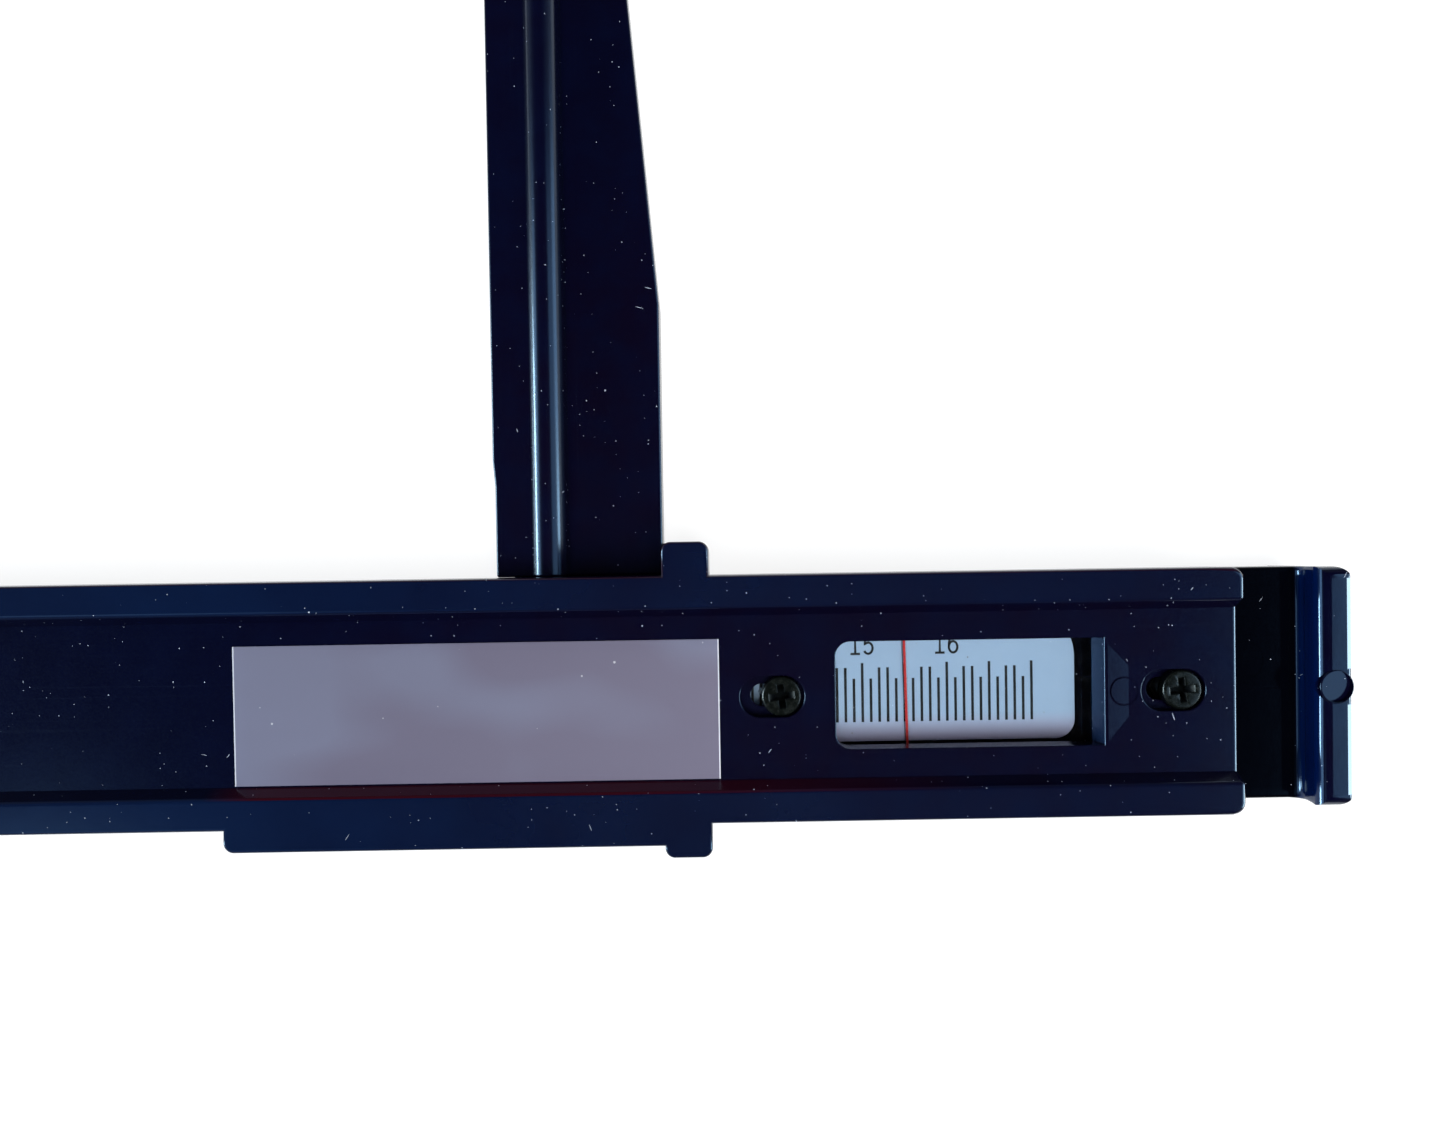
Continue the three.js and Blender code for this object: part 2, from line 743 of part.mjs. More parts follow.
// A cursor nut about its own centre, its back at height 0.
function cursorNut() {
  const bore = cylinder(CURSOR_SHANK_DIAMETER + 2 * FIT_GAP, -OVERRUN, NUT_THICK + OVERRUN);
  return cut(plate(hexagon(NUT_ACROSS_FLATS), 0, NUT_THICK), bore);
}

// A cursor screw about its own axis, the underside of its head at height 0.
function cursorScrew() {
  const head = CURSOR_HEAD_DIAMETER / 2;
  const shank = CURSOR_SHANK_DIAMETER / 2;
  const body = turned([
    [0, -CURSOR_SHANK_LENGTH],
    [shank, -CURSOR_SHANK_LENGTH],
    [shank, 0],
    [head, 0],
    [head, CURSOR_HEAD_THICK - CURSOR_HEAD_ROUND],
    [head - CURSOR_HEAD_ROUND, CURSOR_HEAD_THICK],
    [0, CURSOR_HEAD_THICK],
  ]);
  const recess = crossRecess(CURSOR_HEAD_DIAMETER, CURSOR_HEAD_THICK * CROSS_DEPTH_SHARE);
  return cut(body, recess.translate([0, 0, CURSOR_HEAD_THICK]));
}

const finishes = {
  mouldedPlastic: { color: 0x0d1430, roughness: 0.45, metalness: 0 },
  whiteStrip: { color: 0xf2f3f4, roughness: 0.5, metalness: 0 },
  clearLens: { color: 0xe8eef2, roughness: 0.1, metalness: 0, transparent: true, opacity: 0.3 },
  redLine: { color: 0xc01c24, roughness: 0.5, metalness: 0 },
  silverFoil: { color: 0xb9b9c4, roughness: 0.3, metalness: 0.9 },
  blackScrew: { color: 0x17181a, roughness: 0.4, metalness: 0.8 },
  zincScrew: { color: 0xa9abad, roughness: 0.35, metalness: 1 },
  springSteel: { color: 0xb4b6b8, roughness: 0.3, metalness: 1 },
};

function named(name, body, finish, x = 0, y = 0, z = 0) {
  const mesh = new THREE.Mesh(geometryOf(body), new THREE.MeshStandardMaterial(finishes[finish]));
  mesh.name = name;
  mesh.position.set(x, y, z);
  return mesh;
}

// A screw driven from behind, its head towards the surface that the caliper lies on.
function screwFromBehind(name, size, x, y, face) {
  const mesh = named(name, countersunkScrew(size), "zincScrew", x, y, face + size.sunk);
  mesh.rotation.x = Math.PI;
  return mesh;
}

function ruleGroup() {
  const group = new THREE.Group();
  group.add(named("rule_beam", ruleBeam(), "mouldedPlastic"));
  group.add(named("scale_strip", scaleStrip(), "whiteStrip"));
  group.add(named("fixed_jaw", fixedJaw(), "mouldedPlastic"));
  jawScrewPlaces.forEach(([x, y], i) => {
    group.add(screwFromBehind(`fixed_jaw_screw_${i + 1}`, JAW_SCREW, x, y, beamBack));
  });
  return group;
}

function cursorGroup() {
  const group = new THREE.Group();
  group.add(named("cursor_lens", cursorLens(), "clearLens"));
  group.add(named("hairline", hairlineBar(0, 0), "redLine"));
  const sides = { left: leftScrewAt, right: rightScrewAt };
  for (const [side, at] of Object.entries(sides)) {
    const head = slotFloor + FIT_GAP / 2;
    group.add(named(`cursor_nut_${side}`, cursorNut(), "zincScrew", at, 0, lensBack));
    group.add(named(`cursor_screw_${side}`, cursorScrew(), "blackScrew", at, 0, head));
  }
  return group;
}

function carriageGroup() {
  const group = new THREE.Group();
  group.position.x = READING;
  group.add(named("carriage_cover", carriageCover(), "mouldedPlastic"));
  group.add(named("moving_jaw", movingJaw(), "mouldedPlastic"));
  group.add(named("gib_spring", gibSpring(), "springSteel"));
  group.add(named("nameplate", nameplate(), "silverFoil"));
  carriageScrewPlaces.forEach(([x, y], i) => {
    group.add(screwFromBehind(`carriage_screw_${i + 1}`, CARRIAGE_SCREW, x, y, 0));
  });
  group.add(cursorGroup());
  return group;
}

const caliper = new THREE.Group();
caliper.add(ruleGroup(), carriageGroup());
caliper.position.set((BEAM_PAST_JAW - rightEnd) / 2, (lugReach - jawTip) / 2, 0);

export default caliper;
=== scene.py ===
import json
import math

import bmesh
import bpy
from mathutils import Euler, Matrix, Vector
from mathutils.bvhtree import BVHTree


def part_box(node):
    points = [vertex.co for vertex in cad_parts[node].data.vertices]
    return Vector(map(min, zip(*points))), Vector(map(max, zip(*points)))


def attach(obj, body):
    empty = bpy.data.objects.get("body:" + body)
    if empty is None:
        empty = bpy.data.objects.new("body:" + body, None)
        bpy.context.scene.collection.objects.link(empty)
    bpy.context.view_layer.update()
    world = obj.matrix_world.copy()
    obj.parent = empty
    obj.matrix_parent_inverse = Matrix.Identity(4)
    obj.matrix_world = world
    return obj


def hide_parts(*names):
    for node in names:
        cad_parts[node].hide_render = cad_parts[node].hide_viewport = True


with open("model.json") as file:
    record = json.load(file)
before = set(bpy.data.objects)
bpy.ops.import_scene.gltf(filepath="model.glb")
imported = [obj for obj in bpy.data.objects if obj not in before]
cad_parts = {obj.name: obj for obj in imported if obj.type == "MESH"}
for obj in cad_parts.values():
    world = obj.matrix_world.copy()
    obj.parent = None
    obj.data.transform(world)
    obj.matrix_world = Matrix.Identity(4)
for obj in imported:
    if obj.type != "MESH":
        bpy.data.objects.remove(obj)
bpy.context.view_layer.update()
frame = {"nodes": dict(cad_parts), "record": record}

# What the frame says: boxes in metres, and each node's body.
fixed_jaw_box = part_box("fixed_jaw")
beam_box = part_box("rule_beam")
strip_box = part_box("scale_strip")
foil_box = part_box("nameplate")
record = frame["record"]
body_of_node = {}
for body, nodes in record["behaviour"]["bodies"].items():
    for node in nodes:
        body_of_node[node] = body

# Sizes and places in millimetres. Places are from the fixed jaw's measuring face along X, from the
# cover's centre line along Y, and from the table along Z.
MM = 0.001
ORIGIN = Vector((fixed_jaw_box[1][0], (beam_box[0][1] + beam_box[1][1]) / 2, 0))
OVERRUN = 1
READING = 155
COVER_RIGHT = READING + 85.2
WEB_FRONT = 13.2
WINDOW_LEFT = READING + 39.5
WINDOW_RIGHT = READING + 70
WINDOW_TOP = 6.1
BEAM_FRONT = 8.1
BAR_FRONT = 12.7
BAR_RIGHT = 253.6
BOSS_LEFT = 249.7
BOSS_HALF = 1.95


def place(x, y, z):
    """The point in metres at a place in millimetres."""
    return ORIGIN + Vector((x, y, z)) * MM


def x_at(x):
    """How far along X a place lies, in metres."""
    return place(x, 0, 0).x


def y_at(y):
    """How far along Y a place lies, in metres."""
    return place(0, y, 0).y


# Shader graphs.
class Graph:
    """The nodes of a material or a world, with short calls for those that are used here."""

    def __init__(self, owner):
        owner.use_nodes = True
        self.owner = owner
        self.tree = owner.node_tree
        self.tree.nodes.clear()

    def node(self, kind, inputs=None, **settings):
        made = self.tree.nodes.new(kind)
        for key, value in settings.items():
            setattr(made, key, value)
        for key, value in (inputs or {}).items():
            self.feed(made.inputs[key], value)
        return made

    def feed(self, socket, value):
        if isinstance(value, bpy.types.NodeSocket):
            self.tree.links.new(value, socket)
        else:
            socket.default_value = value

    def coordinates(self, scale=(1, 1, 1), turn=(0, 0, 0)):
        where = self.node("ShaderNodeTexCoord").outputs["Object"]
        if any(turn):
            where = self.node("ShaderNodeMapping", {"Vector": where, "Rotation": turn}).outputs["Vector"]
        return self.node("ShaderNodeMapping", {"Vector": where, "Scale": scale}).outputs["Vector"]

    def separate(self, vector):
        return self.node("ShaderNodeSeparateXYZ", {"Vector": vector}).outputs

    def noise(self, vector, scale, detail, roughness=0.55):
        inputs = {"Vector": vector, "Scale": scale, "Detail": detail, "Roughness": roughness}
        return self.node("ShaderNodeTexNoise", inputs).outputs["Fac"]

    def math(self, operation, first, *others):
        """One operation on two values, or on more of them in turn, held between 0 and 1."""
        for other in others:
            made = self.node("ShaderNodeMath", operation=operation, use_clamp=True)
            self.feed(made.inputs[0], first)
            self.feed(made.inputs[1], other)
            first = made.outputs[0]
        return first

    def between(self, value, low, high):
        """1 where the value lies between low and high, and 0 elsewhere."""
        above = self.math("GREATER_THAN", value, low)
        return self.math("MULTIPLY", above, self.math("LESS_THAN", value, high))

    def span(self, value, low, high, start=0.0, end=1.0):
        """Runs from start, where the value is low, to end, where it is high."""
        inputs = {"Value": value, "From Min": low, "From Max": high, "To Min": start, "To Max": end}
        return self.node("ShaderNodeMapRange", inputs).outputs["Result"]

    def blend(self, amount, first, second):
        """A colour between two colours."""
        made = self.node("ShaderNodeMix", data_type="RGBA")
        self.feed(made.inputs[0], amount)
        self.feed(made.inputs[6], first)
        self.feed(made.inputs[7], second)
        return made.outputs[2]

    def mix(self, amount, first, second):
        """A value between two values."""
        made = self.node("ShaderNodeMix", data_type="FLOAT")
        self.feed(made.inputs[0], amount)
        self.feed(made.inputs[2], first)
        self.feed(made.inputs[3], second)
        return made.outputs[0]

    def bump(self, height, distance, strength, normal=None):
        inputs = {"Height": height, "Distance": distance, "Strength": strength}
        if normal is not None:
            inputs["Normal"] = normal
        return self.node("ShaderNodeBump", inputs).outputs["Normal"]

    def surface(self, **inputs):
        """Ends a material with a principled shader, and returns the material."""
        shader = self.node("ShaderNodeBsdfPrincipled")
        for key, value in inputs.items():
            self.feed(shader.inputs[key.replace("_", " ")], value)
        self.node("ShaderNodeOutputMaterial", {"Surface": shader.outputs[0]})
        return self.owner


def material_graph(name):
    return Graph(bpy.data.materials.new(name))


def colour(red, green, blue):
    return (red, green, blue, 1.0)


SMALLEST_SPECK_SHARE = 0.35


def dust(graph, where, cells_per_metre, share, size):
    """White specks: the few cells of a fine lattice that hold one, each with its own size.

    share is how many cells hold a speck, and size how far the largest reaches, in cells.
    """
    lattice = graph.node("ShaderNodeTexVoronoi", {"Vector": where, "Scale": cells_per_metre}).outputs
    draws = graph.node("ShaderNodeSeparateColor", {"Color": lattice["Color"]}).outputs
    held = graph.math("GREATER_THAN", draws[0], 1 - share)
    reach = graph.span(draws[1], 0, 1, size * SMALLEST_SPECK_SHARE, size)
    near = graph.math("LESS_THAN", lattice["Distance"], reach)
    return graph.math("MULTIPLY", held, near)


# The dark moulding of the beam, the cover and the jaws. The layers of dust are cells a metre, the
# share of them that hold a speck, and the largest speck's reach.
NAVY = colour(0.0011, 0.0015, 0.0115)
NAVY_LIGHT = colour(0.0015, 0.0026, 0.0165)
PURPLE = colour(0.0026, 0.0013, 0.0095)
# Painted light: the paler navy of the flanges' raised fronts.
PAINTED_LIGHT_NAVY = colour(0.0024, 0.0085, 0.036)
# Painted reflection: the maroon on the flanges' slopes and upper outer edge.
PAINTED_MAROON_REFLECTION = colour(0.03, 0.0012, 0.005)
# Painted reflection: the paler blue of the window's right end wall.
PAINTED_REFLECTION_BLUE = colour(0.012, 0.026, 0.07)
# Painted light: the clearer blue of the end bar's inner wall.
PAINTED_LIGHT_BAR_BLUE = colour(0.0008, 0.011, 0.075)
# Painted shade: the near black of the beam as far as the end bar.
PAINTED_SHADE_BLACK = colour(0.0007, 0.0009, 0.0024)
RUBBED_BLUE = colour(0.03, 0.05, 0.1)
DUST_GREY = colour(0.5, 0.56, 0.66)
BLUISH_SHINE = colour(0.5, 0.72, 1.0)
DULL_SHINE = 0.1
PLAIN_SHINE = 0.5
POLISHED_SHINE = 1.0
DUST_LAYERS = ((2300, 0.07, 0.16), (1300, 0.06, 0.12), (420, 0.06, 0.05))
FIBRE_CELLS = (260, 2600, 260)
FIBRE_SHARE = 0.008
FIBRE_SIZE = 0.16
FIBRE_TURNS = (15, 70, 125)
STREAKS_ALONG_X = (25, 2600, 2600)
STREAKS_ALONG_Y = (2600, 25, 2600)
PURPLE_FROM = READING - 35
PURPLE_FULL = READING + 10
FLANGE_FRONT = 14.95
# Where the flanges' painted light fades in at their fronts, and how far along it stays full.
FLANGE_LIGHT_FADE = 0.3
FLANGE_LIGHT_FULL_UNTIL = READING - 40
# Where the painted maroon reflection lies, and where it fades in and out beside the foil.
SLOPE_FOOT = 13.3
LOWER_SLOPE = -10.6
UPPER_EDGE = 13.45
WARM_FADE_AT_FOIL = 3
WARM_BEFORE_FOIL_END = 10
WARM_PAST_FOIL_END = 30
# The window's right end wall, painted paler and given more shine.
POLISHED_PAINTED_WALL_FROM = WINDOW_RIGHT - 1.4
POLISHED_PAINTED_WALL_TO = WINDOW_RIGHT + 0.45
POLISHED_PAINTED_WALL_HALF = 6
POLISHED_PAINTED_WALL_FRONT = 13.1
# Where the beam's painted shade gives way to the end bar, and where the bar's inner wall is painted blue.
COVE_MIDDLE = 249.2
COVE_FADE = 0.5
BAR_WALL_RIGHT = 250.6
BAR_WALL_BRIGHT_UP_TO = 11.6
BAR_WALL_DARK_FROM = 12.4


def fibres(graph, turn):
    """Short fine scratches that lie one way."""
    where = graph.coordinates(FIBRE_CELLS, (0, 0, math.radians(turn)))
    bent = graph.noise(graph.coordinates(), 300, 1)
    where = graph.node("ShaderNodeVectorMath", {0: where, 1: bent}, operation="ADD").outputs[0]
    return dust(graph, where, 1, FIBRE_SHARE, FIBRE_SIZE)


def dust_and_fibres(graph, where):
    layers = [dust(graph, where, *layer) for layer in DUST_LAYERS]
    layers += [fibres(graph, turn) for turn in FIBRE_TURNS]
    return graph.math("MAXIMUM", *layers)


def cloudy_navy(graph, where, parts):
    """Navy with lighter clouds, and with wide purple ones past the nameplate."""
    wide = graph.span(graph.noise(where, 14, 2), 0.3, 0.6)
    past_foil = graph.span(parts["X"], x_at(PURPLE_FROM), x_at(PURPLE_FULL))
    tone = graph.blend(graph.math("MULTIPLY", wide, past_foil), NAVY, PURPLE)
    cloud = graph.noise(where, 260, 4)
    return graph.blend(graph.span(cloud, 0.35, 0.7, 0, 0.6), tone, NAVY_LIGHT)


def worn_flanges(graph, parts):
    """Painted light: the flanges' raised fronts painted paler in patches, most at the left and less so
    towards the cover's right end.
    """
    front = graph.span(parts["Z"], (FLANGE_FRONT - FLANGE_LIGHT_FADE) * MM, FLANGE_FRONT * MM)
    patchy = graph.span(graph.noise(graph.coordinates(), 60, 3), 0.3, 0.65, 0.5, 1)
    held = graph.span(parts["X"], x_at(FLANGE_LIGHT_FULL_UNTIL), x_at(COVER_RIGHT), 1, 0.2)
    return graph.math("MULTIPLY", patchy, held, front)


def warm_slopes(graph, parts):
    """Where a maroon reflection is painted: on the lower flange's inner slope beside the foil, and on the
    upper outer edge.
    """
    sloping = graph.between(parts["Z"], SLOPE_FOOT * MM, FLANGE_FRONT * MM)
    lower = graph.between(parts["Y"], y_at(LOWER_SLOPE), y_at(0))
    left = foil_box[0][0]
    right = foil_box[1][0]
    fade = WARM_FADE_AT_FOIL * MM
    past = graph.span(parts["X"], left - fade, left + fade)
    start = right - WARM_BEFORE_FOIL_END * MM
    before = graph.span(parts["X"], start, right + WARM_PAST_FOIL_END * MM, 1, 0)
    beside_foil = graph.math("MULTIPLY", past, before, lower)
    upper = graph.math("MULTIPLY", graph.math("GREATER_THAN", parts["Y"], y_at(UPPER_EDGE)), 0.5)
    return graph.math("MULTIPLY", sloping, graph.math("MAXIMUM", beside_foil, upper))


def cover_finish(graph, parts, tone):
    """Painted light on the flanges' fronts, a painted maroon reflection on their slopes, and the window's
    right end wall painted paler for the light it reflects, with a polished shine.
    """
    tone = graph.blend(worn_flanges(graph, parts), tone, PAINTED_LIGHT_NAVY)
    tone = graph.blend(warm_slopes(graph, parts), tone, PAINTED_MAROON_REFLECTION)
    wall = graph.math(
        "MULTIPLY",
        graph.between(parts["X"], x_at(POLISHED_PAINTED_WALL_FROM), x_at(POLISHED_PAINTED_WALL_TO)),
        graph.between(parts["Y"], y_at(-POLISHED_PAINTED_WALL_HALF), y_at(POLISHED_PAINTED_WALL_HALF)),
        graph.math("LESS_THAN", parts["Z"], POLISHED_PAINTED_WALL_FRONT * MM),
    )
    return graph.blend(wall, tone, PAINTED_REFLECTION_BLUE), graph.mix(wall, PLAIN_SHINE, POLISHED_SHINE)


def beam_finish(graph, parts, tone):
    """Painted shade: near black and dull as far as the end bar; the bar's inner wall is painted a clearer
    blue for the light it catches.
    """
    bar = graph.span(parts["X"], x_at(COVE_MIDDLE), x_at(COVE_MIDDLE + COVE_FADE))
    low = graph.span(parts["Z"], BAR_WALL_DARK_FROM * MM, BAR_WALL_BRIGHT_UP_TO * MM)
    wall = graph.math("MULTIPLY", bar, low, graph.math("LESS_THAN", parts["X"], x_at(BAR_WALL_RIGHT)))
    tone = graph.blend(wall, tone, PAINTED_LIGHT_BAR_BLUE)
    return graph.blend(bar, PAINTED_SHADE_BLACK, tone), graph.mix(bar, DULL_SHINE, PLAIN_SHINE)


def moulded_plastic(name, roughness, streaks, tone_with_painted_light=None):
    """Dark navy moulding: cloudy colour, a fine spark-eroded grain, dust and a few scratches.

    streaks says how closely rub marks lie along X, Y and Z, and the last argument is a function that
    changes the tone in some places with painted light and shade, and returns it with the shine.
    """
    graph = material_graph(name)
    where = graph.coordinates()
    parts = graph.separate(where)
    tone = cloudy_navy(graph, where, parts)
    shine = PLAIN_SHINE
    if tone_with_painted_light:
        tone, shine = tone_with_painted_light(graph, parts, tone)
    rubbed = graph.span(graph.noise(graph.coordinates(streaks), 1, 5, 0.65), 0.62, 0.85, 0, 0.05)
    tone = graph.blend(rubbed, tone, RUBBED_BLUE)
    specks = dust_and_fibres(graph, where)
    shade = graph.span(graph.noise(where, 900, 2), 0.3, 0.7, 0.45, 1)
    tone = graph.blend(graph.math("MULTIPLY", specks, shade), tone, DUST_GREY)
    grain = graph.noise(where, 5200, 2)
    normal = graph.bump(grain, 0.012 * MM, 0.25)
    normal = graph.bump(graph.noise(where, 420, 2), 0.06 * MM, 0.12, normal)
    rough = graph.math("ADD", graph.span(grain, 0.3, 0.7, roughness - 0.03, roughness + 0.04), rubbed)
    rough = graph.math("MAXIMUM", rough, graph.math("MULTIPLY", specks, 0.8))
    return graph.surface(
        Base_Color=tone,
        Roughness=rough,
        Specular_IOR_Level=shine,
        Specular_Tint=BLUISH_SHINE,
        Normal=normal,
    )


# The other materials.
# How far up the strip's painted reddish cast reaches.
PAINTED_CAST_HEIGHT = 3.2
# The width of the highlight painted along the foil's cut ends.
FOIL_END_HIGHLIGHT_WIDTH = 0.14
LENS_INDEX = 1.49


def white_sheet():
    """The strip: satin white sheet with a faint mottle, and a reddish cast painted towards its lower edge
    for the shade and reflection under the window's lower wall.
    """
    graph = material_graph("white_strip_sheet")
    where = graph.coordinates()
    mottle = graph.noise(where, 300, 3)
    tone = graph.blend(graph.span(mottle, 0.3, 0.75), colour(0.357, 0.52, 0.715), colour(0.39, 0.553, 0.74))
    low = strip_box[0][1]
    # Painted shade and reflection: a reddish cast towards the strip's lower edge.
    painted_reddish_cast = graph.span(graph.separate(where)["Y"], low, low + PAINTED_CAST_HEIGHT * MM, 1, 0)
    tone = graph.blend(painted_reddish_cast, tone, colour(0.52, 0.47, 0.66))
    specks = dust(graph, where, 900, 0.12, 0.1)
    tone = graph.blend(graph.math("MULTIPLY", specks, 0.5), tone, colour(0.25, 0.22, 0.2))
    normal = graph.bump(graph.noise(where, 2600, 2), 0.01 * MM, 0.2)
    rough = graph.span(mottle, 0.3, 0.7, 0.38, 0.5)
    return graph.surface(Base_Color=tone, Roughness=rough, Normal=normal)


def printing_ink():
    graph = material_graph("black_print")
    worn = graph.span(graph.noise(graph.coordinates(), 6000, 3), 0.55, 0.8)
    tone = graph.blend(worn, colour(0.012, 0.014, 0.016), colour(0.06, 0.065, 0.07))
    rough = graph.span(worn, 0, 1, 0.45, 0.65)
    return graph.surface(Base_Color=tone, Roughness=rough)


def red_paint():
    graph = material_graph("red_hairline_paint")
    patchy = graph.span(graph.noise(graph.coordinates(), 5000, 3), 0.4, 0.75)
    tone = graph.blend(patchy, colour(0.62, 0.025, 0.02), colour(0.42, 0.015, 0.015))
    rough = graph.span(patchy, 0, 1, 0.4, 0.6)
    return graph.surface(Base_Color=tone, Roughness=rough)


def silver_foil():
    """Aluminised film: slow ripples, a faint rolled grain, handling marks, and a highlight painted along
    both cut ends.
    """
    graph = material_graph("silver_foil_film")
    where = graph.coordinates()
    slow = graph.noise(graph.coordinates((45, 110, 45)), 1, 2, 0.4)
    pale = graph.span(graph.noise(graph.coordinates((38, 75, 38)), 1, 1.5, 0.3), 0.47, 0.56)
    tone = graph.blend(pale, colour(0.205, 0.185, 0.26), colour(0.235, 0.235, 0.33))
    rolled = graph.noise(graph.coordinates((60, 700, 60)), 1, 3, 0.6)
    marks = graph.span(graph.noise(where, 900, 5, 0.7), 0.62, 0.8, 0, 0.25)
    specks = dust(graph, where, 800, 0.12, 0.12)
    tone = graph.blend(graph.math("MULTIPLY", specks, 0.8), tone, colour(0.8, 0.8, 0.82))
    along = graph.separate(where)["X"]
    # Painted highlight: a near white line along both cut ends.
    right_end_highlight = graph.math("GREATER_THAN", along, foil_box[1][0] - FOIL_END_HIGHLIGHT_WIDTH * MM)
    left_end_highlight = graph.math("LESS_THAN", along, foil_box[0][0] + FOIL_END_HIGHLIGHT_WIDTH * MM)
    tone = graph.blend(graph.math("MAXIMUM", right_end_highlight, left_end_highlight), tone, colour(0.85, 0.85, 0.9))
    normal = graph.bump(slow, 0.6 * MM, 0.35)
    rough = graph.math("ADD", graph.span(rolled, 0.3, 0.7, 0.29, 0.32), marks)
    return graph.surface(Base_Color=tone, Metallic=0.4, Roughness=rough, Normal=normal)


def metal(name, dark, light, roughness, metallic):
    """A small turned or pressed metal piece: mottled plating with a fine grain."""
    graph = material_graph(name)
    where = graph.coordinates()
    mottle = graph.noise(where, 1800, 4)
    tone = graph.blend(graph.span(mottle, 0.35, 0.7), dark, light)
    normal = graph.bump(graph.noise(where, 14000, 2), 0.008 * MM, 0.5)
    rough = graph.span(mottle, 0.3, 0.7, roughness, roughness + 0.14)
    return graph.surface(Base_Color=tone, Metallic=metallic, Roughness=rough, Normal=normal)


def clear_plastic():
    """Clear sheet: light passes straight through, and the front reflects a little with faint scuffs."""
    graph = material_graph("clear_lens_sheet")
    where = graph.coordinates()
    haze = graph.span(graph.noise(where, 700, 5, 0.7), 0.5, 0.85, 0.0, 0.008)
    specks = graph.math("MULTIPLY", dust(graph, where, 900, 0.15, 0.08), 0.3)
    clear = graph.node("ShaderNodeBsdfTransparent", {"Color": colour(0.985, 0.992, 0.997)}).outputs[0]
    scuffs = graph.span(graph.noise(where, 2400, 3), 0.3, 0.7, 0.03, 0.09)
    gloss = graph.node("ShaderNodeBsdfGlossy", {"Roughness": scuffs}).outputs[0]
    fresnel = graph.node("ShaderNodeFresnel", {"IOR": LENS_INDEX}).outputs[0]
    pane = graph.node("ShaderNodeMixShader", {0: fresnel, 1: clear, 2: gloss}).outputs[0]
    milky = graph.node("ShaderNodeBsdfDiffuse", {"Color": colour(0.75, 0.78, 0.82)}).outputs[0]
    soiled = graph.math("ADD", haze, specks)
    whole = graph.node("ShaderNodeMixShader", {0: soiled, 1: pane, 2: milky}).outputs[0]
    graph.node("ShaderNodeOutputMaterial", {"Surface": whole})
    return graph.owner


cover_plastic = moulded_plastic("cover_moulding", 0.17, STREAKS_ALONG_X, cover_finish)
beam_plastic = moulded_plastic("beam_moulding", 0.11, STREAKS_ALONG_X, beam_finish)
jaw_plastic = moulded_plastic("jaw_moulding", 0.21, STREAKS_ALONG_Y)
sheet_white = white_sheet()
ink = printing_ink()
paint_red = red_paint()
foil = silver_foil()
lens_clear = clear_plastic()
black_oxide = metal("black_oxide", colour(0.002, 0.003, 0.0025), colour(0.007, 0.009, 0.0075), 0.18, 0.2)
# Painted shade: a near black, dull material for the screws' cross recesses.
recess_painted_shade = metal("recess_painted_shade", colour(0.0006, 0.0008, 0.0007), colour(0.001, 0.0013, 0.0011), 0.6, 0)
zinc = metal("zinc_plate", colour(0.42, 0.43, 0.45), colour(0.58, 0.58, 0.57), 0.28, 1.0)
spring_metal = metal("bright_spring", colour(0.45, 0.45, 0.46), colour(0.6, 0.6, 0.6), 0.22, 1.0)


# Meshes, with angles in degrees.
SHARP_FROM = 32
SAME_PLACE = 0.002
SAME_PLANE = 0.4
RING_STEPS = 48


def new_piece(name, mesh, material):
    piece = bpy.data.objects.new(name, mesh)
    bpy.context.scene.collection.objects.link(piece)
    mesh.materials.clear()
    mesh.materials.append(material)
    return piece


def piece_from(body, name, material):
    """A new piece from a finished body, which is freed."""
    mesh = bpy.data.meshes.new(name)
    body.to_mesh(mesh)
    body.free()
    return new_piece(name, mesh, material)


def apply_modifiers(piece):
    bpy.context.view_layer.update()
    graph = bpy.context.evaluated_depsgraph_get()
    mesh = bpy.data.meshes.new_from_object(piece.evaluated_get(graph))
    piece.modifiers.clear()
    piece.data = mesh


def smooth_curves(piece):
    """Smooth shading over the curves, with flat faces kept flat."""
    piece.data.shade_smooth()
    piece.data.set_sharp_from_angle(angle=math.radians(SHARP_FROM))
    weights = piece.modifiers.new("flat_faces", "WEIGHTED_NORMAL")
    weights.keep_sharp = True
    weights.weight = 100
    apply_modifiers(piece)


def round_edges(piece, width, segments=3, angle=35, share_of=None):
    """Round the outward edges. share_of gives an edge's share of the width from its middle.

    A corner that the rounding throws off the old surface is put back on it.
    """
    body = bmesh.new()
    body.from_mesh(piece.data)
    surface = BVHTree.FromBMesh(body)
    weights = body.edges.layers.float.new("bevel_weight_edge")
    for edge in body.edges:
        if not edge.is_convex or edge.calc_face_angle() < math.radians(angle):
            continue
        middle = (edge.verts[0].co + edge.verts[1].co) / 2
        edge[weights] = share_of((middle - ORIGIN) / MM) if share_of else 1
    body.to_mesh(piece.data)
    body.free()
    bevel = piece.modifiers.new("rounded_edges", "BEVEL")
    bevel.width = width * MM
    bevel.segments = segments
    bevel.limit_method = "WEIGHT"
    bevel.use_clamp_overlap = False
    bevel.loop_slide = False
    apply_modifiers(piece)
    for vertex in piece.data.vertices:
        nearest, normal, face, away = surface.find_nearest(vertex.co)
        if away > width * MM / 2:
            vertex.co = nearest


def combine(piece, others, operation):
    for other in others:
        boolean = piece.modifiers.new("shape", "BOOLEAN")
        boolean.operation = operation
        boolean.solver = "EXACT"
        boolean.object = other
    apply_modifiers(piece)
    for other in others:
        bpy.data.objects.remove(other, do_unlink=True)


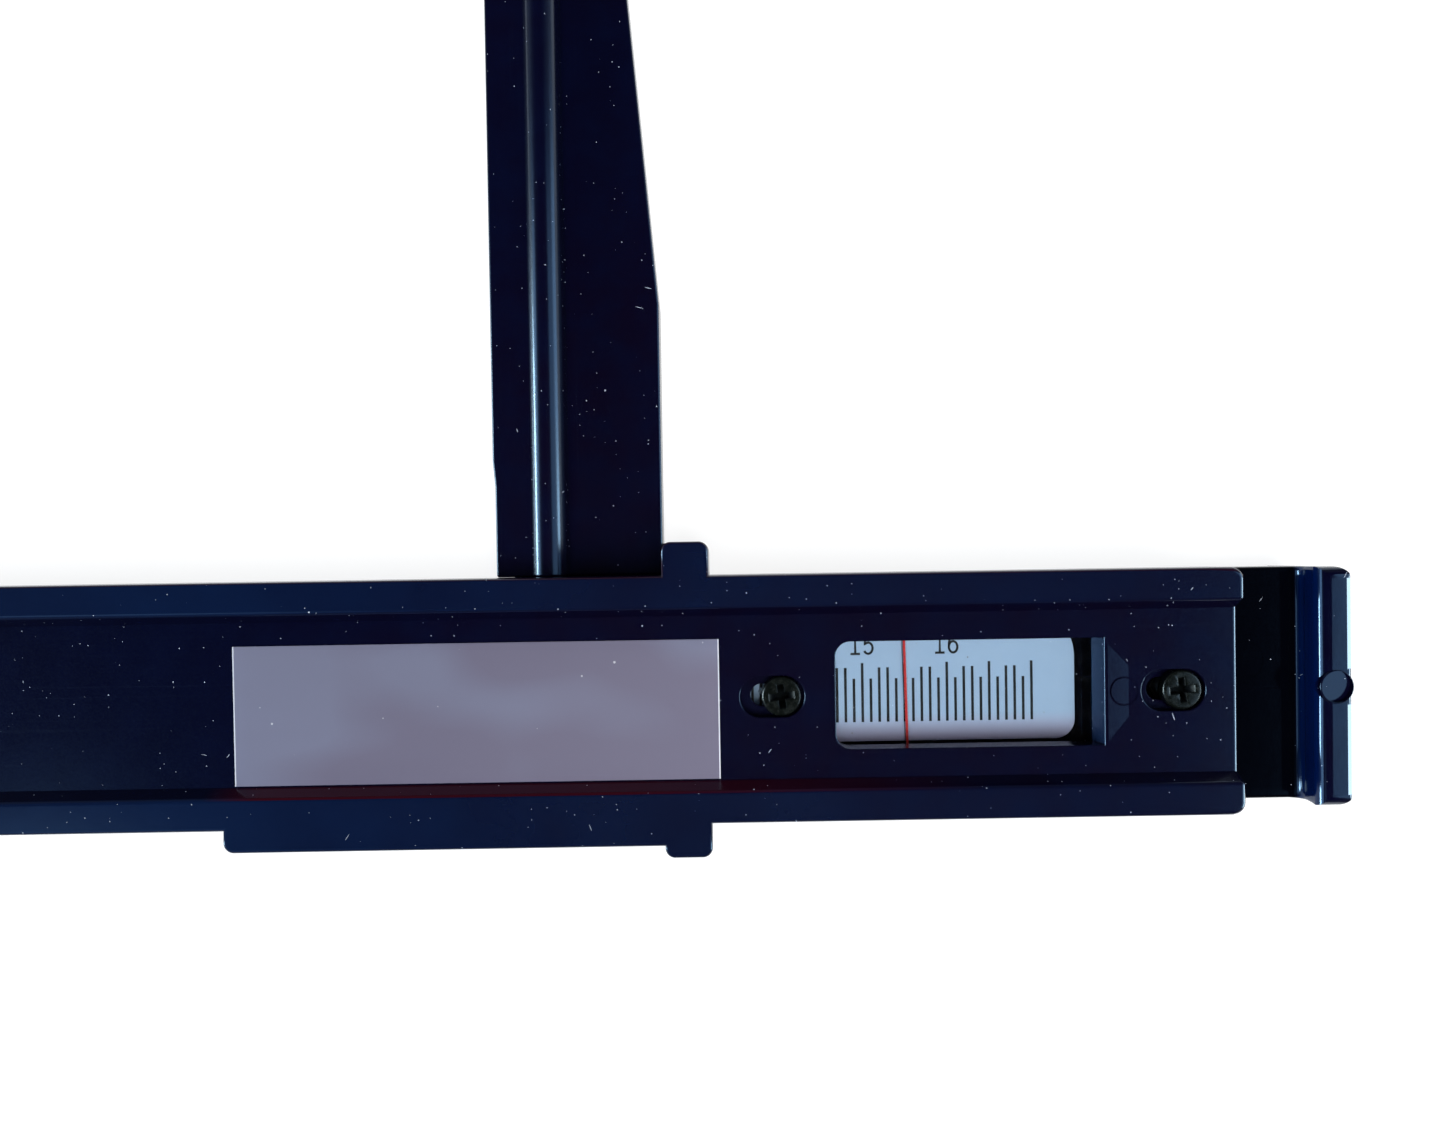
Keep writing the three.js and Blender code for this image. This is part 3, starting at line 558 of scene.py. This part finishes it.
def tidy_copy(node, name, material, splits=()):
    """A node's mesh with its triangles merged into whole faces, as a new piece.

    splits are places along Y where the faces get an edge across, so that the smooth shading
    of a round end stays at that end.
    """
    mesh = frame["nodes"][node].data.copy()
    mesh.name = name
    same = SAME_PLACE * MM
    flat = math.radians(SAME_PLANE)
    body = bmesh.new()
    body.from_mesh(mesh)
    bmesh.ops.remove_doubles(body, verts=body.verts, dist=same)
    bmesh.ops.dissolve_degenerate(body, dist=same, edges=body.edges)
    bmesh.ops.dissolve_limit(body, angle_limit=flat, verts=body.verts, edges=body.edges)
    for y in splits:
        everything = [*body.verts, *body.edges, *body.faces]
        bmesh.ops.bisect_plane(body, geom=everything, plane_co=place(0, y, 0), plane_no=(0, 1, 0))
    body.to_mesh(mesh)
    body.free()
    for attribute in list(mesh.attributes):
        if attribute.name in ("sharp_face", "sharp_edge", "custom_normal"):
            mesh.attributes.remove(attribute)
    return new_piece(name, mesh, material)


def stands_for(piece, node):
    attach(piece, body_of_node[node])
    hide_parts(node)


def refined(node, name, material, width, segments=3, share_of=None, splits=(), cuts=(), additions=()):
    """A copy of a node with rounded edges and smooth curves, which stands for the node."""
    piece = tidy_copy(node, name, material, splits)
    round_edges(piece, width, segments, share_of=share_of)
    if additions:
        combine(piece, additions, "UNION")
    if cuts:
        combine(piece, cuts, "DIFFERENCE")
    smooth_curves(piece)
    stands_for(piece, node)


def join_rings(body, low, high):
    """The walls between two rings of vertices that have the same count."""
    count = len(low)
    for i in range(count):
        after = (i + 1) % count
        body.faces.new([low[i], low[after], high[after], high[i]])


def prism(name, low_ring, high_ring):
    """A closed body between two rings of points, to add to a piece or to cut from it."""
    body = bmesh.new()
    low = [body.verts.new(point) for point in low_ring]
    high = [body.verts.new(point) for point in high_ring]
    body.faces.new(list(reversed(low)))
    body.faces.new(high)
    join_rings(body, low, high)
    return piece_from(body, name, cover_plastic)


def ring_of(radius, x, y, z):
    points = []
    for i in range(RING_STEPS):
        angle = 2 * math.pi * i / RING_STEPS
        points.append(place(x + radius * math.cos(angle), y + radius * math.sin(angle), z))
    return points


def ejector_ring(x, y, face, radius, width, depth):
    """A tool for the thin round groove that an ejector pin leaves."""
    body = bmesh.new()
    rings = []
    for around in (radius - width / 2, radius + width / 2):
        for height in (face - depth, face + OVERRUN):
            rings.append([body.verts.new(point) for point in ring_of(around, x, y, height)])
    inner_low, inner_high, outer_low, outer_high = rings
    join_rings(body, outer_low, outer_high)
    join_rings(body, outer_high, inner_high)
    join_rings(body, inner_high, inner_low)
    join_rings(body, inner_low, outer_low)
    return piece_from(body, "ejector_ring", cover_plastic)


# The cover.
COVER_ROUND = 0.6
COVER_SOFT_FROM = COVER_RIGHT - 1.5
SLOTS_UNTIL = COVER_RIGHT - 1
SLOT_HALF = 3
WINDOW_ROOM = 0.5
SOFT_END_SHARE = 1
LONG_EDGE_SHARE = 0.6
WINDOW_SHARE = 0.25
SLOT_SHARE = 0.2
COVER_PIN = {"radius": 1.57, "width": 0.2, "depth": 0.1}
COVER_PIN_PAST_WINDOW = 2.15
RAMP_FROM = WINDOW_RIGHT + 0.3
RAMP_TO = WINDOW_RIGHT + 2.7
RAMP_BOTTOM = -5.8
RAMP_TOP = 5.5
RAMP_RIGHT_HALF = 2.95
RAMP_RISE = 0.17
RAMP_FADE = 0.01
RAMP_BATTER = 0.1
RAMP_SUNK = 0.3


def cover_share(at):
    """Soft ends, a crisp window and slots, and a medium round on the long edges."""
    beside_window = WINDOW_LEFT - WINDOW_ROOM < at.x < WINDOW_RIGHT + WINDOW_ROOM
    if beside_window and abs(at.y) < WINDOW_TOP + WINDOW_ROOM:
        return WINDOW_SHARE
    if abs(at.y) < SLOT_HALF and at.x < SLOTS_UNTIL:
        return SLOT_SHARE
    if at.x > COVER_SOFT_FROM:
        return SOFT_END_SHARE
    return LONG_EDGE_SHARE


def window_relief():
    """The faint ramp that falls from the window's right end, with four sides."""
    narrow = RAMP_RIGHT_HALF - RAMP_BATTER / 2
    foot = [
        (RAMP_FROM, RAMP_BOTTOM),
        (RAMP_TO, -RAMP_RIGHT_HALF),
        (RAMP_TO, RAMP_RIGHT_HALF),
        (RAMP_FROM, RAMP_TOP),
    ]
    crest = [
        (RAMP_FROM, RAMP_BOTTOM + RAMP_BATTER, RAMP_RISE),
        (RAMP_TO, -narrow, RAMP_FADE),
        (RAMP_TO, narrow, RAMP_FADE),
        (RAMP_FROM, RAMP_TOP - RAMP_BATTER, RAMP_RISE),
    ]
    low = [place(x, y, WEB_FRONT - RAMP_SUNK) for x, y in foot]
    high = [place(x, y, WEB_FRONT + rise) for x, y, rise in crest]
    return prism("window_relief", low, high)


def cover():
    refined(
        "carriage_cover",
        "slider_cover",
        cover_plastic,
        COVER_ROUND,
        share_of=cover_share,
        additions=[window_relief()],
        cuts=[ejector_ring(WINDOW_RIGHT + COVER_PIN_PAST_WINDOW, 0, WEB_FRONT, **COVER_PIN)],
    )


# The beam and its end bar.
BEAM_ROUND = 0.5
BEAM_PIN = {"radius": 2.2, "width": 0.14, "depth": 0.06}
BEAM_PIN_AT = (243.4, 2.75)
BAR_EDGE = 0.7
BAR_EDGE_FALL = math.tan(math.radians(25))
BAR_EDGE_END = 12.4
BAR_SPLIT = 12.3
ROUND_WALL_FROM = 12
ROUND_WALL_ABOVE = 11
ROUND_WALL_PAST = BOSS_LEFT - 0.5
PAD_EDGES_PAST = BOSS_LEFT - 0.2
PAD_EDGES_HALF = BOSS_HALF + 0.1
PAD_EDGE_SHARE = 0.2
PAD_MIDDLE = BAR_RIGHT - 1.9
PAD_RIM = 0.13
PAD_SUNK = 0.26
PAD_TILT = 0.12
PAD_LEAST_SUNK = 0.01


def beam_share(at):
    """The pad in the end wall has a crisp rim, and the wall's round ends meet its ridge as they are."""
    if at.x > PAD_EDGES_PAST and abs(at.y) < PAD_EDGES_HALF:
        return PAD_EDGE_SHARE
    if at.x > ROUND_WALL_PAST and at.z > ROUND_WALL_ABOVE and abs(at.y) > ROUND_WALL_FROM:
        return 0
    return 1


def bar_edge_wedges():
    """Tools that flatten the end bar's right edge into a slope on both sides of its pad."""
    left = BAR_RIGHT - BAR_EDGE - OVERRUN
    right = BAR_RIGHT + OVERRUN
    above = BAR_FRONT + OVERRUN
    section = [
        (left, above),
        (right, above),
        (right, BAR_FRONT - (BAR_EDGE + OVERRUN) * BAR_EDGE_FALL),
        (left, BAR_FRONT + OVERRUN * BAR_EDGE_FALL),
    ]
    tools = []
    for start, end in ((PAD_EDGES_HALF, BAR_EDGE_END), (-BAR_EDGE_END, -PAD_EDGES_HALF)):
        low = [place(x, start, z) for x, z in section]
        high = [place(x, end, z) for x, z in section]
        tools.append(prism("edge_wedge", low, high))
    return tools


def pad_hollow():
    """A tool for the pad's face, which sinks towards its lower right."""
    radius = BOSS_HALF - PAD_RIM
    bottom = []
    for point in ring_of(radius, PAD_MIDDLE, 0, BAR_FRONT):
        at = (point - ORIGIN) / MM
        sunk = PAD_SUNK + PAD_TILT * (at.x - PAD_MIDDLE - at.y)
        bottom.append(place(at.x, at.y, BAR_FRONT - max(sunk, PAD_LEAST_SUNK)))
    return prism("pad_hollow", bottom, ring_of(radius, PAD_MIDDLE, 0, BAR_FRONT + OVERRUN))


def beam():
    refined(
        "rule_beam",
        "beam",
        beam_plastic,
        BEAM_ROUND,
        share_of=beam_share,
        splits=(-BAR_SPLIT, BAR_SPLIT),
        cuts=[ejector_ring(*BEAM_PIN_AT, BEAM_FRONT, **BEAM_PIN), *bar_edge_wedges(), pad_hollow()],
    )


# The jaws.
JAW_ROUND = 0.3
BEAD_LEFT = -10
BEAD_RIGHT = -3
BEAD_FOOT = 8.45
BEAD_CLEAR = 11
BEAD_GAP_FROM = 13.4
BEAD_GAP_TO = 13.98


def bead_gap():
    """A tool that ends the fixed jaw's bead just short of the cover that passes it."""
    ring = [
        (BEAD_LEFT, BEAD_GAP_FROM),
        (BEAD_RIGHT, BEAD_GAP_FROM),
        (BEAD_RIGHT, BEAD_GAP_TO),
        (BEAD_LEFT, BEAD_GAP_TO),
    ]
    low = [place(x, y, BEAD_FOOT) for x, y in ring]
    high = [place(x, y, BEAD_CLEAR) for x, y in ring]
    return prism("bead_gap", low, high)


def jaws():
    refined("fixed_jaw", "left_jaw", jaw_plastic, JAW_ROUND, cuts=[bead_gap()])
    refined("moving_jaw", "sliding_jaw", jaw_plastic, JAW_ROUND)


# The small pieces.
STRIP_ROUND = 0.08
SPRING_ROUND = 0.05
LENS_ROUND = 0.1
HAIRLINE_ROUND = 0.03
NUT_ROUND = 0.08
COVER_SCREW_ROUND = 0.05
JAW_SCREW_ROUND = 0.06


def small_pieces():
    refined("scale_strip", "graduated_strip", sheet_white, STRIP_ROUND, 2)
    refined("gib_spring", "leaf_spring", spring_metal, SPRING_ROUND, 2)
    refined("cursor_lens", "lens", lens_clear, LENS_ROUND, 2)
    refined("hairline", "red_hairline", paint_red, HAIRLINE_ROUND, 1)
    for side in ("left", "right"):
        refined(f"cursor_nut_{side}", f"nut_{side}", zinc, NUT_ROUND, 2)
    for number in (1, 2, 3, 4):
        refined(f"carriage_screw_{number}", f"slider_screw_{number}", zinc, COVER_SCREW_ROUND, 2)
    for number in (1, 2, 3):
        refined(f"fixed_jaw_screw_{number}", f"jaw_screw_{number}", zinc, JAW_SCREW_ROUND, 2)


# The nameplate: a bare foil with slow ripples.
FOIL_COLUMNS = 120
FOIL_ROWS = 36
FOIL_RIM_CELLS = 3
FOIL_RIM_DROP = 0.05
FOIL_RIPPLE = 0.012


def foil_drop(u, v):
    """How far the foil's front lies below its highest level, with a rim that turns down."""
    cells_in = min(u * FOIL_COLUMNS, (1 - u) * FOIL_COLUMNS, v * FOIL_ROWS, (1 - v) * FOIL_ROWS)
    flat = min(cells_in / FOIL_RIM_CELLS, 1)
    ripple = math.sin(9 * u + 2.5 * v) * 0.5 + math.sin(23 * u - 7 * v + 1.3) * 0.3
    return FOIL_RIM_DROP * MM * (1 - flat) + FOIL_RIPPLE * MM * (1 + ripple) * flat


def nameplate():
    low, high = foil_box
    body = bmesh.new()
    grid = []
    for j in range(FOIL_ROWS + 1):
        v = j / FOIL_ROWS
        y = low[1] + (high[1] - low[1]) * v
        line = []
        for i in range(FOIL_COLUMNS + 1):
            u = i / FOIL_COLUMNS
            x = low[0] + (high[0] - low[0]) * u
            line.append(body.verts.new((x, y, high[2] - foil_drop(u, v))))
        grid.append(line)
    for line, above in zip(grid, grid[1:]):
        for i in range(FOIL_COLUMNS):
            body.faces.new([line[i], line[i + 1], above[i + 1], above[i]])
    rim = list(grid[0])
    rim += [line[-1] for line in grid[1:]]
    rim += list(reversed(grid[-1][:-1]))
    rim += [line[0] for line in reversed(grid[1:-1])]
    feet = [body.verts.new((vertex.co.x, vertex.co.y, low[2])) for vertex in rim]
    join_rings(body, feet, rim)
    body.faces.new(list(reversed(feet)))
    piece = piece_from(body, "foil_plate", foil)
    smooth_curves(piece)
    stands_for(piece, "nameplate")


# The cursor screws: cheese heads with a cross recess.
SHANK_RADIUS = 1
SHANK_CHAMFER = 0.2
HEAD_THICK = 1.5
HEAD_CHAMFER = 0.07
HEAD_RIM = 0.3
HEAD_RIM_STEPS = 6
HEAD_FLAT_RADIUS = 1.2
HEAD_FLAT_SUNK = 0.015
HEAD_MIDDLE_SUNK = 0.02
CROSS_TURN = 6
CROSS_DEPTH = 1.4
CROSS_FLOOR = {"half": 0.75, "arm": 0.32}
CROSS_MOUTH = {"half": 1.5, "arm": 0.42}
CROSS_STANDS = 0.1
CROSS_RIM = 0.06
SCREW_ROUND = 0.05
SCREW_ROUND_FROM = 40


def turned(name, profile, x, y, material):
    """A body of revolution from points of radius and height; the first and last lie on the axis."""
    body = bmesh.new()
    bottom = body.verts.new(place(x, y, profile[0][1]))
    rings = []
    for radius, height in profile[1:-1]:
        rings.append([body.verts.new(point) for point in ring_of(radius, x, y, height)])
    top = body.verts.new(place(x, y, profile[-1][1]))
    for low, high in zip(rings, rings[1:]):
        join_rings(body, low, high)
    for i in range(RING_STEPS):
        after = (i + 1) % RING_STEPS
        body.faces.new([bottom, rings[0][after], rings[0][i]])
        body.faces.new([rings[-1][i], rings[-1][after], top])
    bmesh.ops.recalc_face_normals(body, faces=body.faces)
    return piece_from(body, name, material)


def cross_ring(x, y, z, half, arm):
    """A cross whose arms reach half and are twice arm wide, turned a little."""
    points = []
    for quarter in range(4):
        rotation = Matrix.Rotation(math.radians(CROSS_TURN + 90 * quarter), 2)
        for corner in ((arm, arm), (arm, half), (-arm, half)):
            at = rotation @ Vector(corner)
            points.append(place(x + at.x, y + at.y, z))
    return points


def cursor_screw(side):
    node = f"cursor_screw_{side}"
    low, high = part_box(node)
    x = ((low[0] + high[0]) / 2 - ORIGIN.x) / MM
    y = ((low[1] + high[1]) / 2 - ORIGIN.y) / MM
    bottom = low[2] / MM
    top = high[2] / MM
    head = (high[0] - low[0]) / 2 / MM
    under = top - HEAD_THICK
    profile = [
        (0, bottom),
        (SHANK_RADIUS - SHANK_CHAMFER, bottom),
        (SHANK_RADIUS, bottom + SHANK_CHAMFER),
        (SHANK_RADIUS, under),
        (head - HEAD_CHAMFER, under),
        (head, under + HEAD_CHAMFER),
    ]
    for i in range(HEAD_RIM_STEPS + 1):
        angle = math.pi / 2 * i / HEAD_RIM_STEPS
        across = head - HEAD_RIM + HEAD_RIM * math.cos(angle)
        profile.append((across, top - HEAD_RIM + HEAD_RIM * math.sin(angle)))
    profile += [(HEAD_FLAT_RADIUS, top - HEAD_FLAT_SUNK), (0, top - HEAD_MIDDLE_SUNK)]
    piece = turned(f"black_screw_{side}", profile, x, y, black_oxide)
    cross_floor = cross_ring(x, y, top - CROSS_DEPTH, **CROSS_FLOOR)
    cross_mouth = cross_ring(x, y, top + CROSS_STANDS, **CROSS_MOUTH)
    combine(piece, [prism("cross", cross_floor, cross_mouth)], "DIFFERENCE")
    round_edges(piece, SCREW_ROUND, 2, SCREW_ROUND_FROM)
    smooth_curves(piece)
    # The cross recess's faces take the painted shade.
    piece.data.materials.append(recess_painted_shade)
    for face in piece.data.polygons:
        away = math.hypot(face.center.x - x_at(x), face.center.y - y_at(y)) / MM
        if away < CROSS_MOUTH["half"] and under < face.center.z / MM < top - CROSS_RIM:
            face.material_index = 1
    stands_for(piece, node)


# The print on the strip. The strokes of a figure are in shares of a box one wide and one high.
PRINT_THICK = 0.012
TICK_WIDTH = 0.31
TICK_BOTTOM = -3.87
TICK_TOPS = {"long": 3.11, "middle": 2.57, "short": 1.27}
HALF_CENTIMETRE = ("long", "short", "middle", "middle", "short")
ZERO_AT = 48.2
LAST_TICK = 170
LAST_NUMBER = 16
DIGIT_HEIGHT = 2.08
DIGIT_WIDTH = 1.25
DIGIT_PITCH = 1.58
DIGIT_STROKE = 0.27
NUMBER_BASE = 4.2
MITRE_LEAST_SHARE = 0.6


def arc(x, y, across, up, start, end, steps=14):
    points = []
    for i in range(steps + 1):
        angle = math.radians(start + (end - start) * i / steps)
        points.append((x + across * math.cos(angle), y + up * math.sin(angle)))
    return points


FIGURE_SHARES = {
    "0": [arc(0.5, 0.5, 0.38, 0.5, 0, 360, 28)],
    "1": [[(0.12, 0.82), (0.5, 1), (0.5, 0)], [(0.05, 0), (0.95, 0)]],
    "2": [[*arc(0.48, 0.7, 0.36, 0.3, 170, -35), (0.08, 0), (0.9, 0), (0.9, 0.1)]],
    "3": [arc(0.42, 0.75, 0.34, 0.25, 150, -80), arc(0.42, 0.27, 0.4, 0.27, 85, -150)],
    "4": [[(0.95, 0.28), (0.05, 0.28), (0.68, 1), (0.68, 0)], [(0.42, 0), (0.94, 0)]],
    "5": [[(0.86, 1), (0.2, 1), (0.16, 0.56), *arc(0.46, 0.32, 0.42, 0.32, 130, -150)]],
    "6": [[(0.84, 0.97), *arc(0.62, 0.42, 0.52, 0.58, 95, 180), *arc(0.5, 0.32, 0.4, 0.32, 180, 539, 28)]],
    "7": [[(0.08, 0.88), (0.08, 1), (0.9, 1), (0.42, 0)]],
    "8": [arc(0.5, 0.76, 0.32, 0.24, 0, 360, 24), arc(0.5, 0.27, 0.4, 0.27, 0, 360, 24)],
    "9": [[(0.16, 0.03), *arc(0.38, 0.58, 0.52, 0.58, -85, 0), *arc(0.5, 0.68, 0.4, 0.32, 0, 359, 28)]],
}


def ribbon(body, points, width, low, high):
    """A flat stroke of even width along points, as a closed body."""
    path = [Vector(point) for point in points]
    left = []
    right = []
    for i, point in enumerate(path):
        before = (point - path[i - 1]).normalized() if i else (path[1] - point).normalized()
        after = (path[i + 1] - point).normalized() if i < len(path) - 1 else before
        side = before + after
        side = Vector((-side.y, side.x)).normalized()
        share = max(abs(side.dot(Vector((-before.y, before.x)))), MITRE_LEAST_SHARE)
        left.append(point + side * width / 2 / share)
        right.append(point - side * width / 2 / share)
    ring = left + list(reversed(right))
    lower = [body.verts.new(place(point.x, point.y, low)) for point in ring]
    upper = [body.verts.new(place(point.x, point.y, high)) for point in ring]
    for level in (lower, upper):
        opposite = list(reversed(level))
        for i in range(len(path) - 1):
            body.faces.new([opposite[i], opposite[i + 1], level[i + 1], level[i]])
    join_rings(body, upper, lower)


def print_piece(name, strokes, width):
    low = strip_box[1][2] / MM
    body = bmesh.new()
    for points in strokes:
        ribbon(body, points, width, low, low + PRINT_THICK)
    bmesh.ops.recalc_face_normals(body, faces=body.faces)
    piece = piece_from(body, name, ink)
    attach(piece, "rule")


def graduations():
    strokes = []
    for millimetre in range(LAST_TICK + 1):
        x = ZERO_AT + millimetre
        top = TICK_TOPS[HALF_CENTIMETRE[millimetre % 5]]
        strokes.append([(x, TICK_BOTTOM), (x, top)])
    print_piece("graduations", strokes, TICK_WIDTH)


def numbers():
    strokes = []
    for centimetre in range(LAST_NUMBER + 1):
        text = str(centimetre)
        left = ZERO_AT + 10 * centimetre - DIGIT_PITCH * len(text) / 2 + (DIGIT_PITCH - DIGIT_WIDTH) / 2
        for place_in_text, digit in enumerate(text):
            x = left + place_in_text * DIGIT_PITCH
            for stroke in FIGURE_SHARES[digit]:
                strokes.append([(x + u * DIGIT_WIDTH, NUMBER_BASE + v * DIGIT_HEIGHT) for u, v in stroke])
    print_piece("scale_numbers", strokes, DIGIT_STROKE)


# Floor and sky. The floor is in metres, and the sky's levels are its brightness as mirrored by the
# caliper and as light on it.
FLOOR_HALF = 3
FLOOR_DROP = 0.02 * MM
FLOOR_GLOW = 0.86
MIRRORED_OVERHEAD = 0.012
MIRRORED_FRONT = 0.08
MIRRORED_SIDES = 0.32
LIGHT_OVERHEAD = 0.096
LIGHT_LOW = 0.28


def floor():
    """A pale floor that shows white, with a faint shadow."""
    graph = material_graph("pale_floor")
    mottle = graph.noise(graph.coordinates(), 30, 3)
    tone = graph.blend(mottle, colour(0.26, 0.26, 0.26), colour(0.28, 0.28, 0.28))
    path = graph.node("ShaderNodeLightPath").outputs
    seen = graph.math("MAXIMUM", path["Is Camera Ray"], path["Is Glossy Ray"], path["Is Transmission Ray"])
    material = graph.surface(
        Base_Color=tone,
        Roughness=0.9,
        Specular_IOR_Level=0.0,
        Emission_Color=colour(1, 1, 1),
        Emission_Strength=graph.math("MULTIPLY", seen, FLOOR_GLOW),
    )
    corners = []
    for x, y in ((-1, -1), (1, -1), (1, 1), (-1, 1)):
        corners.append((x * FLOOR_HALF, y * FLOOR_HALF, -FLOOR_DROP))
    mesh = bpy.data.meshes.new("floor")
    mesh.from_pydata(corners, [], [(0, 1, 2, 3)])
    new_piece("floor", mesh, material)


def sky():
    """White to the camera. To the caliper it is dim overhead and brighter to the left and right."""
    world = bpy.data.worlds.new("studio")
    bpy.context.scene.world = world
    graph = Graph(world)
    parts = graph.separate(graph.node("ShaderNodeTexCoord").outputs["Generated"])
    low = graph.span(parts["Z"], 0.35, 0.8, 1, 0)
    sideways = graph.math("MULTIPLY", parts["X"], parts["X"])
    level = graph.span(sideways, 0.2, 0.9, MIRRORED_FRONT, MIRRORED_SIDES)
    reflected = graph.math("ADD", graph.math("MULTIPLY", low, level), MIRRORED_OVERHEAD)
    lighting = graph.span(parts["Z"], 0.2, 0.8, LIGHT_LOW, LIGHT_OVERHEAD)
    path = graph.node("ShaderNodeLightPath").outputs
    strength = graph.mix(path["Is Glossy Ray"], lighting, reflected)
    seen = graph.math("MAXIMUM", path["Is Camera Ray"], path["Is Transmission Ray"])
    strength = graph.mix(seen, strength, 1.0)
    back = graph.node("ShaderNodeBackground", {"Color": colour(1, 1, 1), "Strength": strength})
    graph.node("ShaderNodeOutputWorld", {"Surface": back.outputs[0]})


# Lights.
PANEL_DISTANCE = 3
PANELS_FACE = place(READING + 20, 5, 10)
COOL = (0.75, 0.95, 1.0)
BLUE = (0.5, 0.75, 1.0)


def panel(name, azimuths, elevations, radiance, tint=(1, 1, 1), shines=True, lights=True):
    """A soft box that faces the caliper and spans two azimuths and two elevations, in degrees.

    radiance is how bright its face looks. shines is whether surfaces mirror it, and lights
    whether it lights them.
    """
    azimuth = math.radians(sum(azimuths) / 2)
    elevation = math.radians(sum(elevations) / 2)
    half_turn = math.radians(azimuths[1] - azimuths[0]) / 2
    half_rise = math.radians(elevations[1] - elevations[0]) / 2
    flat = math.cos(elevation)
    data = bpy.data.lights.new(name, "AREA")
    data.shape = "RECTANGLE"
    data.size = 2 * PANEL_DISTANCE * math.tan(half_turn) * flat
    data.size_y = 2 * PANEL_DISTANCE * math.tan(half_rise)
    data.energy = 4 * radiance * data.size * data.size_y
    data.color = tint
    light = bpy.data.objects.new(name, data)
    bpy.context.scene.collection.objects.link(light)
    towards = Vector((math.cos(azimuth) * flat, math.sin(azimuth) * flat, math.sin(elevation)))
    light.location = PANELS_FACE + towards * PANEL_DISTANCE
    light.rotation_euler = towards.to_track_quat("Z", "Y").to_euler()
    light.visible_camera = False
    light.visible_glossy = shines
    light.visible_diffuse = lights
    light.visible_transmission = False


def lights():
    """A soft key and side fills that light, and windows and glows that are only mirrored."""
    panel("key", (-115, -15), (60, 90), 7.6, shines=False)
    panel("left_fill", (160, 206), (8, 38), 3.5, BLUE, shines=False)
    panel("right_fill", (-40, 20), (5, 30), 1.2, BLUE, shines=False)
    panel("left_window", (168, 198), (3, 14), 44, COOL, lights=False)
    panel("left_glow", (160, 206), (17, 36), 3.5, BLUE, lights=False)
    panel("left_high", (200, 235), (40, 57), 0.8, BLUE, lights=False)
    panel("right_window", (-28, 5), (0, 20), 13, COOL, lights=False)
    panel("right_glow", (5, 22), (0, 24), 3.5, BLUE, lights=False)
    panel("right_high", (-30, 25), (24, 59.2), 1.6, BLUE, lights=False)


# The camera, fitted to the photograph's ticks and straight edges.
PHOTO_WIDTH_PIXELS = 1445
FOCAL_LENGTH_PIXELS = 1053
SENSOR_WIDTH = 36
NEAREST_SEEN = 0.01
EYE = (181.4, 16.15, 132.2)
EYE_TURN = (-0.79, -0.24, -0.91)


def camera():
    data = bpy.data.cameras.new("camera")
    data.sensor_width = SENSOR_WIDTH
    data.lens = SENSOR_WIDTH * FOCAL_LENGTH_PIXELS / PHOTO_WIDTH_PIXELS
    data.clip_start = NEAREST_SEEN
    eye = bpy.data.objects.new("camera", data)
    bpy.context.scene.collection.objects.link(eye)
    eye.location = place(*EYE)
    eye.rotation_euler = Euler([math.radians(angle) for angle in EYE_TURN], "XYZ")
    bpy.context.scene.camera = eye


cover()
beam()
jaws()
small_pieces()
nameplate()
for side in ("left", "right"):
    cursor_screw(side)
graduations()
numbers()
floor()
sky()
lights()
camera()
bpy.context.scene.view_settings.view_transform = "Standard"
